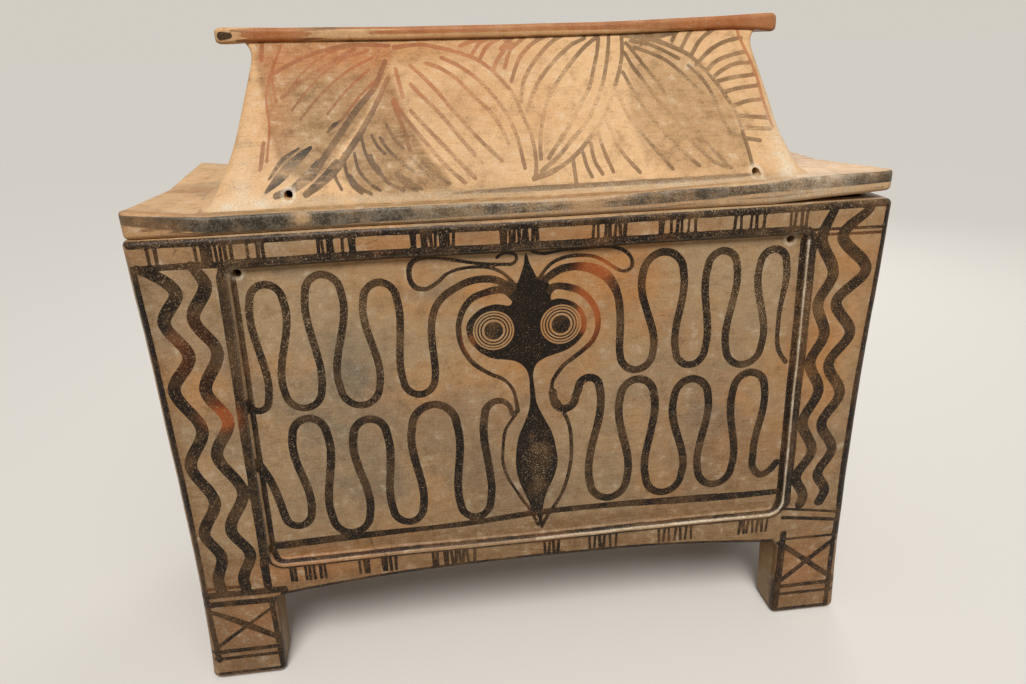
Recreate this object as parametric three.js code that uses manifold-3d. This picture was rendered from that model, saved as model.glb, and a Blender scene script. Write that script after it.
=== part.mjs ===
// A painted clay chest coffin on four legs, with a gabled lid.
// Millimetres, +Z up, +X along the chest, front face towards -Y, feet on Z = 0.

import * as THREE from 'three';
import { mergeVertices } from 'three/addons/utils/BufferGeometryUtils.js';
import Module from 'manifold-3d';

const wasm = await Module();
wasm.setup();

// Chest: length at the rim, and how far each side draws in at the waist and spreads to the feet
const RIM_LENGTH = 1080;
const WAIST_DRAW = 8;
const FOOT_SPREAD = 10;
const CHEST_DEPTH = 462;
const RIM_HEIGHT = 739;
const WAIST_HEIGHT = 270;
const BODY_HEIGHT = 152;

// Clay thicknesses
const FRAME_THICKNESS = 30;
const PANEL_THICKNESS = 20;
const FLOOR_THICKNESS = 22;

// Frame around the recessed panels
const POST_WIDTH = 127;
const OPENING_SPREAD = 7;
const RAIL_WIDTH = 42;
const SILL_WIDTH = 61;
const SILL_ARCH = 22;
const END_SILL_ARCH = 8;
const LEG_FILLET = 13;

// Legs
const LEG_DEPTH = 70;
const FOOT_WIDTH = 118;
const FOOT_DEPTH = 64;

// Rounded clay edges
const CORNER_ROUND = 14;
const RIM_ROUND = 9;
const MOULDING_ROUND = 7;
const SILL_ROUND = 8;
const LEG_ROUND = 6;

// Holes that the lid was tied down through
const TIE_HOLE_DIAMETER = 12;
const CHEST_HOLE_DROP = 11;
const CHEST_LEFT_HOLE_INSET = 13;
const CHEST_RIGHT_HOLE_INSET = 24;
const LID_LEFT_HOLE_INSET = 90;
const LID_RIGHT_HOLE_INSET = 59;
const LID_HOLE_HEIGHT = 15;

// Lid slab, set in a little from the rim
const LID_END_INSET = 2;
const LID_FACE_INSET = 4;
const LID_THICKNESS = 26;
const LID_ROUND = 7;
const LID_CORNER_ROUND = 16;

// Drying warp of the lid slab's corners: both at the left, and the front one at the right
const LEFT_CURL = 12;
const LEFT_CURL_LENGTH = 110;
const RIGHT_CURL = 16;
const RIGHT_CURL_LENGTH = 420;
const RIGHT_UNDER_CURL = 12;
const RIGHT_UNDER_CURL_LENGTH = 185;

// Gable walls: ledges left around their foot, and how far the ends lean in
const FACE_LEDGE = 30;
const LEFT_LEDGE = 124;
const RIGHT_LEDGE = 136;
const LEFT_LEAN = 46;
const RIGHT_LEAN = 24;
const GABLE_RISE = 206;
const GABLE_SLOPE_WALL = 24;
const GABLE_END_WALL = 20;
const GABLE_SLOPE_FLARE = 6;
const GABLE_HIP_FLARE = 18;
const GABLE_LEFT_SWEEP = 26;
const GABLE_RIGHT_SWEEP = 40;

// Ridge plank, which overhangs the gable all round
const RIDGE_LEFT_OVERHANG = 55;
const RIDGE_RIGHT_OVERHANG = 48;
const RIDGE_EAVE = 6;
const RIDGE_DEPTH = 78;
const RIDGE_SAG = 8;
const RIDGE_THICKNESS = 19;
const RIDGE_LEFT_SWELL = 5;
const RIDGE_RIGHT_SWELL = 11;
const RIDGE_SWELL_LENGTH = 100;
const RIDGE_ROUND = 6;
const RIDGE_END_ROUND = 14;

// Luted joints keep this clearance
const JOINT_GAP = 0.3;
const CUT_OVERRUN = 20;

// Worked out from the sizes above
const WAIST_LENGTH = RIM_LENGTH - 2 * WAIST_DRAW;
const FOOT_LENGTH = WAIST_LENGTH + 2 * FOOT_SPREAD;
const OPENING_TOP_LENGTH = RIM_LENGTH - 2 * POST_WIDTH;
const OPENING_FOOT_LENGTH = OPENING_TOP_LENGTH + 2 * OPENING_SPREAD;
const END_OPENING_HALF = CHEST_DEPTH / 2 - LEG_DEPTH;
const RAIL_UNDERSIDE = RIM_HEIGHT - RAIL_WIDTH;
const SILL_TOP = BODY_HEIGHT + SILL_WIDTH;
const LEG_TOP = BODY_HEIGHT + SILL_ARCH;
const FLOOR_UNDERSIDE = LEG_TOP + JOINT_GAP;
const FLOOR_TOP = FLOOR_UNDERSIDE + FLOOR_THICKNESS;
const LID_LENGTH = RIM_LENGTH - 2 * LID_END_INSET;
const LID_DEPTH = CHEST_DEPTH - 2 * LID_FACE_INSET;
const LID_UNDERSIDE = RIM_HEIGHT + JOINT_GAP;
const LID_TOP = LID_UNDERSIDE + LID_THICKNESS;
const GABLE_FOOT_DEPTH = LID_DEPTH - 2 * FACE_LEDGE;
const GABLE_TOP_DEPTH = RIDGE_DEPTH - 2 * RIDGE_EAVE;
const GABLE_LEFT_REACH = LID_LENGTH / 2 - LEFT_LEDGE;
const GABLE_RIGHT_REACH = LID_LENGTH / 2 - RIGHT_LEDGE;
const RIDGE_LEFT_REACH = GABLE_LEFT_REACH - LEFT_LEAN + RIDGE_LEFT_OVERHANG;
const RIDGE_RIGHT_REACH = GABLE_RIGHT_REACH - RIGHT_LEAN + RIDGE_RIGHT_OVERHANG;
const RIDGE_UNDERSIDE = LID_TOP + GABLE_RISE;

// Stations, as shares of the length that they follow
const PLAIN_SHARES = [0, 1];
const WALL_SHARES = [0, 0.25, 0.5, 0.75, 1];
const ARCH_SHARES = [0, 0.01, 0.03, 0.12, 0.25, 0.38, 0.5, 0.62, 0.75, 0.88, 0.97, 0.99, 1];
const GABLE_RISE_SHARES = [0, 0.04, 0.09, 0.16, 0.26, 0.4, 0.7, 1];
const GABLE_RUN_SHARES = [0, 0.08, 0.2, 0.35, 0.5, 0.65, 0.8, 0.92, 1];
const GABLE_END_SHARES = [0, 0.2, 0.35, 0.5, 0.65, 0.8, 1];
const GABLE_OVERLAP_SHARE = 0.04;
const RIDGE_END_SHARES = [0.25, 0.5, 0.75, 0.88, 0.968, 0.978, 0.99, 0.997, 1];
const SLOPE_FLARE_RISE_SHARE = 0.12;
const END_FLARE_RISE_SHARE = 0.45;
const ROUND_SHARES = [0, 0.3, 0.6, 0.85, 1];

const CLAY = new THREE.Color(0xb49a78);
const LID_CLAY = new THREE.Color(0xc9a77f);

const { lerp, clamp } = THREE.MathUtils;
const QUARTER = Math.PI / 2;

// Outlines and curves

// Half the outer length of the chest at a height: wide at rim and feet, drawn in at the waist.
function sideReach(z) {
  const above = z > WAIST_HEIGHT;
  const far = above ? RIM_LENGTH : FOOT_LENGTH;
  const span = above ? RIM_HEIGHT - WAIST_HEIGHT : WAIST_HEIGHT;
  const share = (z - WAIST_HEIGHT) / span;
  return lerp(WAIST_LENGTH, far, share * share) / 2;
}

// Half the length of the front opening, which widens slightly towards the foot.
function openingReach(z) {
  const share = (RIM_HEIGHT - z) / (RIM_HEIGHT - SILL_TOP);
  return lerp(OPENING_TOP_LENGTH, OPENING_FOOT_LENGTH, share) / 2;
}

function arc(centre, radius, from, to, steps) {
  const points = [];
  for (let step = 0; step <= steps; step += 1) {
    const angle = lerp(from, to, step / steps);
    points.push([centre[0] + radius * Math.cos(angle), centre[1] + radius * Math.sin(angle)]);
  }
  return points;
}

// How far a quarter-round edge has drawn back at a distance from the edge.
function roundOff(distance, radius) {
  const inside = clamp(radius - distance, 0, radius);
  return radius - Math.sqrt(radius * radius - inside * inside);
}

// Closed solids

function newell(loop) {
  const normal = new THREE.Vector3();
  loop.forEach((point, i) => {
    const next = loop[(i + 1) % loop.length];
    normal.x += (point.y - next.y) * (point.z + next.z);
    normal.y += (point.z - next.z) * (point.x + next.x);
    normal.z += (point.x - next.x) * (point.y + next.y);
  });
  return normal;
}

function centreOf(loop) {
  const sum = new THREE.Vector3();
  loop.forEach((point) => sum.add(point));
  return sum.divideScalar(loop.length);
}

function capTriangles(loop, outward) {
  const normal = newell(loop).normalize();
  const side = new THREE.Vector3().subVectors(loop[1], loop[0]).cross(normal).normalize();
  const up = new THREE.Vector3().crossVectors(normal, side);
  const flat = loop.map((point) => new THREE.Vector2(point.dot(side), point.dot(up)));
  const faces = THREE.ShapeUtils.triangulateShape(flat, []);
  return faces.map(([a, b, c]) => {
    const edge = new THREE.Vector3().subVectors(loop[b], loop[a]);
    const facing = edge.cross(new THREE.Vector3().subVectors(loop[c], loop[a]));
    return facing.dot(outward) < 0 ? [a, c, b] : [a, b, c];
  });
}

// Rungs between the two halves of a section that runs out along one face and back along the other.
function ladderTriangles(loop, outward) {
  const faces = [];
  for (let i = 0; i + 1 < loop.length / 2; i += 1) {
    const far = loop.length - 1 - i;
    faces.push([i, i + 1, far - 1], [i, far - 1, far]);
  }
  return newell(loop).dot(outward) < 0 ? faces.map(([a, b, c]) => [a, c, b]) : faces;
}

// A closed solid through a row of closed sections that all have as many points.
// The closing side is split the other way, so that mitred walls meet on like faces.
function loft(sections, cap = capTriangles) {
  const count = sections[0].length;
  const last = sections.length - 1;
  const along = new THREE.Vector3().subVectors(centreOf(sections[last]), centreOf(sections[0]));
  const faces = [];
  const turned = newell(sections[0]).dot(along) < 0;
  for (let row = 0; row < last; row += 1) {
    for (let i = 0; i < count; i += 1) {
      const next = (i + 1) % count;
      const a = row * count + i;
      const b = row * count + next;
      const c = b + count;
      const d = a + count;
      const split = next === 0 ? [[a, b, d], [b, c, d]] : [[a, b, c], [a, c, d]];
      faces.push(...split.map(([p, q, r]) => (turned ? [p, r, q] : [p, q, r])));
    }
  }
  faces.push(...cap(sections[0], along.clone().negate()));
  const top = cap(sections[last], along);
  faces.push(...top.map((face) => face.map((corner) => corner + last * count)));
  const geometry = new THREE.BufferGeometry();
  const places = sections.flat().flatMap((point) => [point.x, point.y, point.z]);
  geometry.setAttribute('position', new THREE.Float32BufferAttribute(places, 3));
  geometry.setIndex(faces.flat());
  return geometry;
}

// A wall between two sheets of points, row by row: the outer sheet and the inner one behind it.
function sheetLoft(outer, inner) {
  return loft(outer.map((row, i) => [...row, ...inner[i].slice().reverse()]), ladderTriangles);
}

function toSolid(geometry) {
  const plain = geometry.clone();
  plain.deleteAttribute('normal');
  plain.deleteAttribute('uv');
  const merged = mergeVertices(plain);
  const vertProperties = new Float32Array(merged.attributes.position.array);
  const triVerts = new Uint32Array(merged.index.array);
  return new wasm.Manifold(new wasm.Mesh({ numProp: 3, vertProperties, triVerts }));
}

function toGeometry(solid) {
  const mesh = solid.getMesh();
  const geometry = new THREE.BufferGeometry();
  geometry.setAttribute('position', new THREE.Float32BufferAttribute(mesh.vertProperties, 3));
  geometry.setIndex(new THREE.Uint32BufferAttribute(mesh.triVerts, 1));
  return geometry;
}

// Round tie holes pierced level through a wall that faces the front or the back.
function pierce(geometry, holes, wallThickness) {
  const radius = TIE_HOLE_DIAMETER / 2;
  const length = wallThickness + 2 * CUT_OVERRUN;
  let solid = toSolid(geometry);
  for (const hole of holes) {
    const drill = new THREE.CylinderGeometry(radius, radius, length, 16);
    drill.translate(hole.x, hole.y, hole.z);
    solid = solid.subtract(toSolid(drill));
  }
  return toGeometry(solid);
}

const larnax = new THREE.Group();

function addPiece(name, geometry, colour, roughness) {
  const material = new THREE.MeshStandardMaterial({ color: colour, roughness, metalness: 0 });
  const mesh = new THREE.Mesh(geometry, material);
  mesh.name = name;
  larnax.add(mesh);
}

const addChestPiece = (name, geometry) => addPiece(name, geometry, CLAY, 0.7);
const addLidPiece = (name, geometry) => addPiece(name, geometry, LID_CLAY, 0.65);

// The four walls

// Each wall is drawn as seen from outside: along it, outwards from the middle, and up.
const WALLS = {
  front: {
    reach: () => CHEST_DEPTH / 2,
    half: openingReach,
    arch: SILL_ARCH,
    place: (along, out, z) => new THREE.Vector3(along, -out, z),
  },
  back: {
    reach: () => CHEST_DEPTH / 2,
    half: openingReach,
    arch: SILL_ARCH,
    place: (along, out, z) => new THREE.Vector3(-along, out, z),
  },
  left: {
    reach: sideReach,
    half: () => END_OPENING_HALF,
    arch: END_SILL_ARCH,
    place: (along, out, z) => new THREE.Vector3(-out, -along, z),
  },
  right: {
    reach: sideReach,
    half: () => END_OPENING_HALF,
    arch: END_SILL_ARCH,
    place: (along, out, z) => new THREE.Vector3(out, along, z),
  },
};

// Sections across a wall piece: each point is its depth behind the face, and its height.
function wallLoft(wall, shares, sectionAt) {
  return loft(shares.map((share) => sectionAt(share).map(([depth, z]) => {
    const along = lerp(-1, 1, share) * (wall.half(z) - JOINT_GAP);
    return wall.place(along, wall.reach(z) - depth, z);
  })));
}

function railSection() {
  return [
    ...arc([MOULDING_ROUND, RAIL_UNDERSIDE + MOULDING_ROUND], MOULDING_ROUND, -QUARTER, -2 * QUARTER, 3),
    ...arc([RIM_ROUND, RIM_HEIGHT - RIM_ROUND], RIM_ROUND, 2 * QUARTER, QUARTER, 4),
    [FRAME_THICKNESS, RIM_HEIGHT],
    [FRAME_THICKNESS, RAIL_UNDERSIDE],
  ];
}

// The underside of a sill: a shallow arch that turns down into the legs at its ends.
function sillUnderside(wall, share) {
  const half = wall.half(BODY_HEIGHT);
  const place = lerp(-1, 1, share);
  const fromLeg = half * (1 - Math.abs(place));
  return BODY_HEIGHT + wall.arch * (1 - place * place) - roundOff(fromLeg, LEG_FILLET);
}

function sillSection(underside) {
  return [
    [FRAME_THICKNESS, SILL_TOP],
    ...arc([MOULDING_ROUND, SILL_TOP - MOULDING_ROUND], MOULDING_ROUND, QUARTER, 2 * QUARTER, 3),
    ...arc([SILL_ROUND, underside + SILL_ROUND], SILL_ROUND, 2 * QUARTER, 3 * QUARTER, 3),
    [FRAME_THICKNESS, underside],
  ];
}

function panelSheet(wall) {
  const foot = SILL_TOP + JOINT_GAP;
  const head = RAIL_UNDERSIDE - JOINT_GAP;
  const face = FRAME_THICKNESS - PANEL_THICKNESS;
  return loft(WALL_SHARES.map((share) => {
    const z = lerp(foot, head, share);
    const half = wall.half(z) - JOINT_GAP;
    const outer = wall.reach(z) - face;
    const inner = wall.reach(z) - FRAME_THICKNESS;
    return [[-half, outer], [half, outer], [half, inner], [-half, inner]]
      .map(([along, out]) => wall.place(along, out, z));
  }));
}

function panelHoles(wall) {
  const z = RAIL_UNDERSIDE - CHEST_HOLE_DROP;
  const out = wall.reach(z) - FRAME_THICKNESS + PANEL_THICKNESS / 2;
  const leftHole = CHEST_LEFT_HOLE_INSET - wall.half(z);
  const rightHole = wall.half(z) - CHEST_RIGHT_HOLE_INSET;
  return [leftHole, rightHole].map((along) => wall.place(along, out, z));
}

for (const [side, wall] of Object.entries(WALLS)) {
  const longSide = wall.half === openingReach;
  const panel = panelSheet(wall);
  const pierced = longSide ? pierce(panel, panelHoles(wall), PANEL_THICKNESS) : panel;
  addChestPiece(`${side}_panel`, pierced);
  addChestPiece(`${side}_rail`, wallLoft(wall, PLAIN_SHARES, railSection));
  const sill = wallLoft(wall, ARCH_SHARES, (share) => sillSection(sillUnderside(wall, share)));
  addChestPiece(`${side}_sill`, sill);
}

// Corner posts, each running down into its leg

// A post's L-shaped section, in distances outwards from the middle of the chest.
function postSection(z, drawnIn) {
  const x = sideReach(z) - drawnIn;
  const y = CHEST_DEPTH / 2 - drawnIn;
  const innerX = sideReach(z) - FRAME_THICKNESS;
  const innerY = CHEST_DEPTH / 2 - FRAME_THICKNESS;
  const endX = openingReach(z);
  const endY = END_OPENING_HALF;
  const corner = CORNER_ROUND;
  const mould = MOULDING_ROUND;
  return [
    ...arc([endX + mould, y - mould], mould, 2 * QUARTER, QUARTER, 3),
    ...arc([x - corner, y - corner], corner, QUARTER, 0, 4),
    ...arc([x - mould, endY + mould], mould, 0, -QUARTER, 3),
    [innerX, endY],
    [innerX, innerY],
    [endX, innerY],
  ];
}

// A leg's four-sided section, tapering from the underside of the body to the foot.
function legSection(z, drawnIn) {
  const rise = clamp(z / BODY_HEIGHT, 0, 1);
  const x = sideReach(z) - drawnIn;
  const y = CHEST_DEPTH / 2 - drawnIn;
  const footInner = FOOT_LENGTH / 2 - FOOT_WIDTH;
  const innerX = lerp(footInner, openingReach(BODY_HEIGHT), rise) + drawnIn;
  const innerY = CHEST_DEPTH / 2 - lerp(FOOT_DEPTH, LEG_DEPTH, rise) + drawnIn;
  const corner = CORNER_ROUND - drawnIn;
  const edge = LEG_ROUND - drawnIn / 2;
  return [
    ...arc([innerX + edge, y - edge], edge, 2 * QUARTER, QUARTER, 2),
    ...arc([x - corner, y - corner], corner, QUARTER, 0, 4),
    ...arc([x - edge, innerY + edge], edge, 0, -QUARTER, 2),
    ...arc([innerX + edge, innerY + edge], edge, -QUARTER, -2 * QUARTER, 2),
  ];
}

function cornerPost(signX, signY) {
  const place = (section, z) => section.map(([x, y]) => new THREE.Vector3(signX * x, signY * y, z));
  const legStations = ROUND_SHARES.map((share) => [share * LEG_ROUND, roundOff(share * LEG_ROUND, LEG_ROUND)]);
  legStations.push([BODY_HEIGHT / 2, 0], [BODY_HEIGHT, 0], [LEG_TOP, 0]);
  const leg = loft(legStations.map(([z, drawnIn]) => place(legSection(z, drawnIn), z)));
  const rimStart = RIM_HEIGHT - RIM_ROUND;
  const postStations = WALL_SHARES.map((share) => [lerp(LEG_TOP, rimStart, share), 0]);
  for (const share of ROUND_SHARES.slice(1)) {
    const z = lerp(rimStart, RIM_HEIGHT, share);
    postStations.push([z, roundOff(RIM_HEIGHT - z, RIM_ROUND)]);
  }
  const post = loft(postStations.map(([z, drawnIn]) => place(postSection(z, drawnIn), z)));
  return toGeometry(toSolid(leg).add(toSolid(post)));
}

const CORNERS = { front_left: [-1, -1], front_right: [1, -1], back_left: [-1, 1], back_right: [1, 1] };
for (const [corner, [signX, signY]] of Object.entries(CORNERS)) {
  addChestPiece(`${corner}_post`, cornerPost(signX, signY));
}

// The floor rests on the legs' tops and meets the walls all round
function chestFloor() {
  return loft([FLOOR_UNDERSIDE, FLOOR_TOP].map((z) => {
    const x = sideReach(z) - FRAME_THICKNESS - JOINT_GAP;
    const y = CHEST_DEPTH / 2 - FRAME_THICKNESS - JOINT_GAP;
    return [[-x, -y], [x, -y], [x, y], [-x, y]].map((point) => new THREE.Vector3(...point, z));
  }));
}
addChestPiece('chest_floor', chestFloor());

// Lid slab

// How far up a corner has curled: a share along the lid times a share across it.
function curl(along, across, height, length) {
  const alongShare = clamp((along - (LID_LENGTH / 2 - length)) / length, 0, 1);
  const acrossShare = clamp(across / (LID_DEPTH / 2), 0, 1);
  return height * alongShare * acrossShare;
}

function slabTop(x, y) {
  const left = curl(-x, Math.abs(y), LEFT_CURL, LEFT_CURL_LENGTH);
  return LID_TOP + left + curl(x, -y, RIGHT_CURL, RIGHT_CURL_LENGTH);
}

function slabUnderside(x, y) {
  return LID_UNDERSIDE + curl(x, -y, RIGHT_UNDER_CURL, RIGHT_UNDER_CURL_LENGTH);
}

// A slab section, from the inner edge round the outer edge: reach, offset, and the face it is on.
function slabSection(inner, outer, drawnIn) {
  const edge = LID_ROUND - drawnIn / 2;
  const quarter = arc([outer - edge, -edge], edge, QUARTER, 0, 3);
  const upper = quarter.map(([reach, z]) => [reach, z - drawnIn, slabTop]);
  const lower = quarter.reverse().map(([reach, z]) => [reach, drawnIn - z, slabUnderside]);
  return [[inner, -drawnIn, slabTop], ...upper, ...lower, [inner, drawnIn, slabUnderside]];
}

function longSlabStrip(sign) {
  const half = LID_LENGTH / 2;
  const inner = GABLE_FOOT_DEPTH / 2 - GABLE_SLOPE_WALL;
  const endReaches = ROUND_SHARES.map((share) => half - LID_CORNER_ROUND * share);
  const curlReaches = [LEFT_CURL_LENGTH, RIGHT_UNDER_CURL_LENGTH].map((length) => half - length);
  const reaches = [...endReaches, ...curlReaches, half - RIGHT_CURL_LENGTH].sort((a, b) => a - b);
  const stations = [...reaches.map((reach) => -reach).reverse(), ...reaches];
  return loft(stations.map((x) => {
    const fromEnd = half - Math.abs(x);
    const outer = LID_DEPTH / 2 - roundOff(fromEnd, LID_CORNER_ROUND);
    const section = slabSection(inner, outer, roundOff(fromEnd, LID_ROUND) / 2);
    return section.map(([reach, offset, face]) => (
      new THREE.Vector3(x, sign * reach, face(x, sign * reach) + offset)
    ));
  }));
}

function endSlabStrip(sign, footReach) {
  const half = GABLE_FOOT_DEPTH / 2 - GABLE_SLOPE_WALL - JOINT_GAP;
  const section = slabSection(footReach - GABLE_END_WALL, LID_LENGTH / 2, 0);
  return loft([-half, 0, half].map((y) => section.map(([reach, offset, face]) => (
    new THREE.Vector3(sign * reach, y, face(sign * reach, y) + offset)
  ))));
}

const slabStrips = {
  front_slab: longSlabStrip(-1),
  back_slab: longSlabStrip(1),
  left_slab: endSlabStrip(-1, GABLE_LEFT_REACH),
  right_slab: endSlabStrip(1, GABLE_RIGHT_REACH),
};
for (const [name, geometry] of Object.entries(slabStrips)) addLidPiece(name, geometry);

// Ridge plank

function ridgeTop(x) {
  const share = x / RIDGE_RIGHT_REACH;
  return RIDGE_UNDERSIDE + RIDGE_THICKNESS + RIDGE_SAG * share * share;
}

// The plank is thicker towards its ends, and most at the right.
function ridgeThickness(x) {
  const reach = x < 0 ? RIDGE_LEFT_REACH : RIDGE_RIGHT_REACH;
  const swell = x < 0 ? RIDGE_LEFT_SWELL : RIDGE_RIGHT_SWELL;
  const share = clamp((Math.abs(x) - reach + RIDGE_SWELL_LENGTH) / RIDGE_SWELL_LENGTH, 0, 1);
  return RIDGE_THICKNESS + swell * share * share;
}

function ridgePlank() {
  const shares = [...RIDGE_END_SHARES.map((share) => -share).reverse(), 0, ...RIDGE_END_SHARES];
  return loft(shares.map((share) => {
    const reach = share < 0 ? RIDGE_LEFT_REACH : RIDGE_RIGHT_REACH;
    const x = share * reach;
    const drawnIn = roundOff(reach - Math.abs(x), RIDGE_END_ROUND);
    const edge = RIDGE_ROUND - drawnIn / 4;
    const half = RIDGE_DEPTH / 2 - drawnIn;
    const high = ridgeTop(x) - drawnIn / 2;
    const low = ridgeTop(x) - ridgeThickness(x) + drawnIn / 2;
    return [
      ...arc([half - edge, high - edge], edge, QUARTER, 0, 2),
      ...arc([half - edge, low + edge], edge, 0, -QUARTER, 2),
      ...arc([edge - half, low + edge], edge, -QUARTER, -2 * QUARTER, 2),
      ...arc([edge - half, high - edge], edge, 2 * QUARTER, QUARTER, 2),
    ].map(([y, z]) => new THREE.Vector3(x, y, z));
  }));
}

const ridge = ridgePlank();
addLidPiece('ridge', ridge);

// Gable walls: they stand on the slab, lean in, and carry the ridge

// How far the foot of a wall spreads outwards at a share of its rise.
function footFlare(flare, rise, height) {
  const share = clamp(1 - rise / height, 0, 1);
  return flare * share * share;
}

// The four corners of the gable at a share of its rise, outside or inside the walls.
function gableCorners(rise, inside) {
  const hip = inside ? -GABLE_END_WALL : footFlare(GABLE_HIP_FLARE, rise, END_FLARE_RISE_SHARE);
  const foot = inside ? -GABLE_SLOPE_WALL : footFlare(GABLE_SLOPE_FLARE, rise, SLOPE_FLARE_RISE_SHARE);
  return {
    left: GABLE_LEFT_REACH - LEFT_LEAN * rise + hip,
    right: GABLE_RIGHT_REACH - RIGHT_LEAN * rise + hip,
    depth: lerp(GABLE_FOOT_DEPTH, GABLE_TOP_DEPTH, rise) / 2 + foot,
  };
}

// A wall from its outer and inner sheets, trimmed to stand on the slab and to carry the ridge.
function gableWall(pointAt, runShares) {
  const riseShares = [-GABLE_OVERLAP_SHARE, ...GABLE_RISE_SHARES, 1 + GABLE_OVERLAP_SHARE];
  const sheet = (inside) => riseShares.map((rise) => runShares.map((run) => {
    const [x, y] = pointAt(gableCorners(rise, inside), run, inside ? 1 : rise);
    const z = lerp(LID_TOP, ridgeTop(x) - ridgeThickness(x), rise);
    return new THREE.Vector3(x, y, z);
  }));
  let wall = toSolid(sheetLoft(sheet(false), sheet(true)));
  for (const strip of Object.values(slabStrips)) {
    wall = wall.subtract(toSolid(strip.clone().translate(0, 0, JOINT_GAP)));
  }
  return toGeometry(wall.subtract(toSolid(ridge.clone().translate(0, 0, -JOINT_GAP))));
}

const slopeAt = (sign) => ({ left, right, depth }, run) => (
  [lerp(JOINT_GAP - left, right - JOINT_GAP, run), sign * depth]);

// A gable end sweeps out further at its middle than at the hips.
const endAt = (sign, side, sweep) => (corners, run, rise) => {
  const across = lerp(-1, 1, run);
  const bulge = footFlare(sweep, rise, END_FLARE_RISE_SHARE) * (1 - across * across);
  return [sign * (corners[side] + bulge), corners.depth * across];
};

function lidHoles(sign) {
  const z = LID_TOP + LID_HOLE_HEIGHT;
  const rise = LID_HOLE_HEIGHT / GABLE_RISE;
  const y = sign * (gableCorners(rise, true).depth + GABLE_SLOPE_WALL / 2);
  const leftHole = LID_LEFT_HOLE_INSET - GABLE_LEFT_REACH;
  const rightHole = GABLE_RIGHT_REACH - LID_RIGHT_HOLE_INSET;
  return [leftHole, rightHole].map((x) => new THREE.Vector3(x, y, z));
}

for (const [name, sign] of [['front_slope', -1], ['back_slope', 1]]) {
  const slope = gableWall(slopeAt(sign), GABLE_RUN_SHARES);
  addLidPiece(name, pierce(slope, lidHoles(sign), GABLE_SLOPE_WALL));
}
addLidPiece('left_gable', gableWall(endAt(-1, 'left', GABLE_LEFT_SWEEP), GABLE_END_SHARES));
addLidPiece('right_gable', gableWall(endAt(1, 'right', GABLE_RIGHT_SWEEP), GABLE_END_SHARES));

export default larnax;
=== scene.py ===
"""A painted clay chest coffin with a gabled lid: its fired clay, slip painting and studio."""

import math

import bmesh
import bpy
import numpy as np
from bpy.props import FloatProperty, FloatVectorProperty, PointerProperty
from mathutils import Color, Matrix, Vector


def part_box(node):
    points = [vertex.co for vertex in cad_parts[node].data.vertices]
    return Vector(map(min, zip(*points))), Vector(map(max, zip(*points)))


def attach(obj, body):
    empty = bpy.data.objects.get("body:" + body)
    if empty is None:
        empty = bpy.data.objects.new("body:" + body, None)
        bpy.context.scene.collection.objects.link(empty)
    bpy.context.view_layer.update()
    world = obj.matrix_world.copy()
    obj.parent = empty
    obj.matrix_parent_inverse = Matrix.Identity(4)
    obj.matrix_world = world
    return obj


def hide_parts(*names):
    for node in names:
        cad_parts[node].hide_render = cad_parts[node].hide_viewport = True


bl_info = {
    "name": "Painted clay chest",
    "version": (1, 0, 0),
    "blender": (4, 5, 0),
    "location": "3D View > Sidebar > Clay chest",
    "description": "Builds the fired, painted surface of a clay chest with a gabled lid",
    "category": "Object",
}

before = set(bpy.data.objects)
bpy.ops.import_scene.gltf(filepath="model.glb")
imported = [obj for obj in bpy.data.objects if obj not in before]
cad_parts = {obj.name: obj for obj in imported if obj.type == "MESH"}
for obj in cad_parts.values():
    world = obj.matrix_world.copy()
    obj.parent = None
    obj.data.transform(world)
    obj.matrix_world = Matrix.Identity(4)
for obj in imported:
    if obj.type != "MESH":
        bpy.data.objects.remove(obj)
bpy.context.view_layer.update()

# Everything below is worked out in millimetres and turned into metres when a mesh is made
MM = 0.001
TINY = 1e-9


def lowest(node, axis):
    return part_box(node)[0][axis] / MM


def highest(node, axis):
    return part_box(node)[1][axis] / MM


# Chest sizes that the frame gives
X, Y, Z = 0, 1, 2
FACE = highest("back_rail", Y)
RIM = highest("front_rail", Z)
RAIL_FOOT = lowest("front_rail", Z)
SILL_HEAD = highest("front_sill", Z)
FLOOR_LOW = lowest("chest_floor", Z)
FLOOR_HIGH = highest("chest_floor", Z)
END_OPENING = highest("right_rail", Y)

# Chest sizes that the frame's boxes don't show on their own
RIM_REACH = 540
WAIST_REACH = 532
FOOT_REACH = 542
WAIST = 270
OPENING_RIM_REACH = 413
OPENING_FOOT_REACH = 420
WALL = 30
RECESS = 10
LEG_FILLET = 13
BODY_FOOT = lowest("front_sill", Z) + LEG_FILLET
SILL_ARCH = 22
END_SILL_ARCH = 8
LEG_HEAD = BODY_FOOT + SILL_ARCH
FOOT_INNER = 424
FOOT_DEPTH = 64
END_FOOT_INNER = FACE - FOOT_DEPTH

# Roundings of the chest's clay
CORNER_ROUND = 14
RIM_ROUND = 9
SILL_ROUND = 8
FOOT_ROUND = 11
HEAD_CORNER = 11
SILL_CORNER = 26

# Lid sizes that the frame gives
SLAB_LOW = lowest("back_slab", Z)
SLAB_REACH = highest("right_slab", X)
SLAB_FACE = highest("back_slab", Y)
RIDGE_LEFT = -lowest("ridge", X)
RIDGE_RIGHT = highest("ridge", X)
RIDGE_HALF = highest("ridge", Y)

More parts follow.
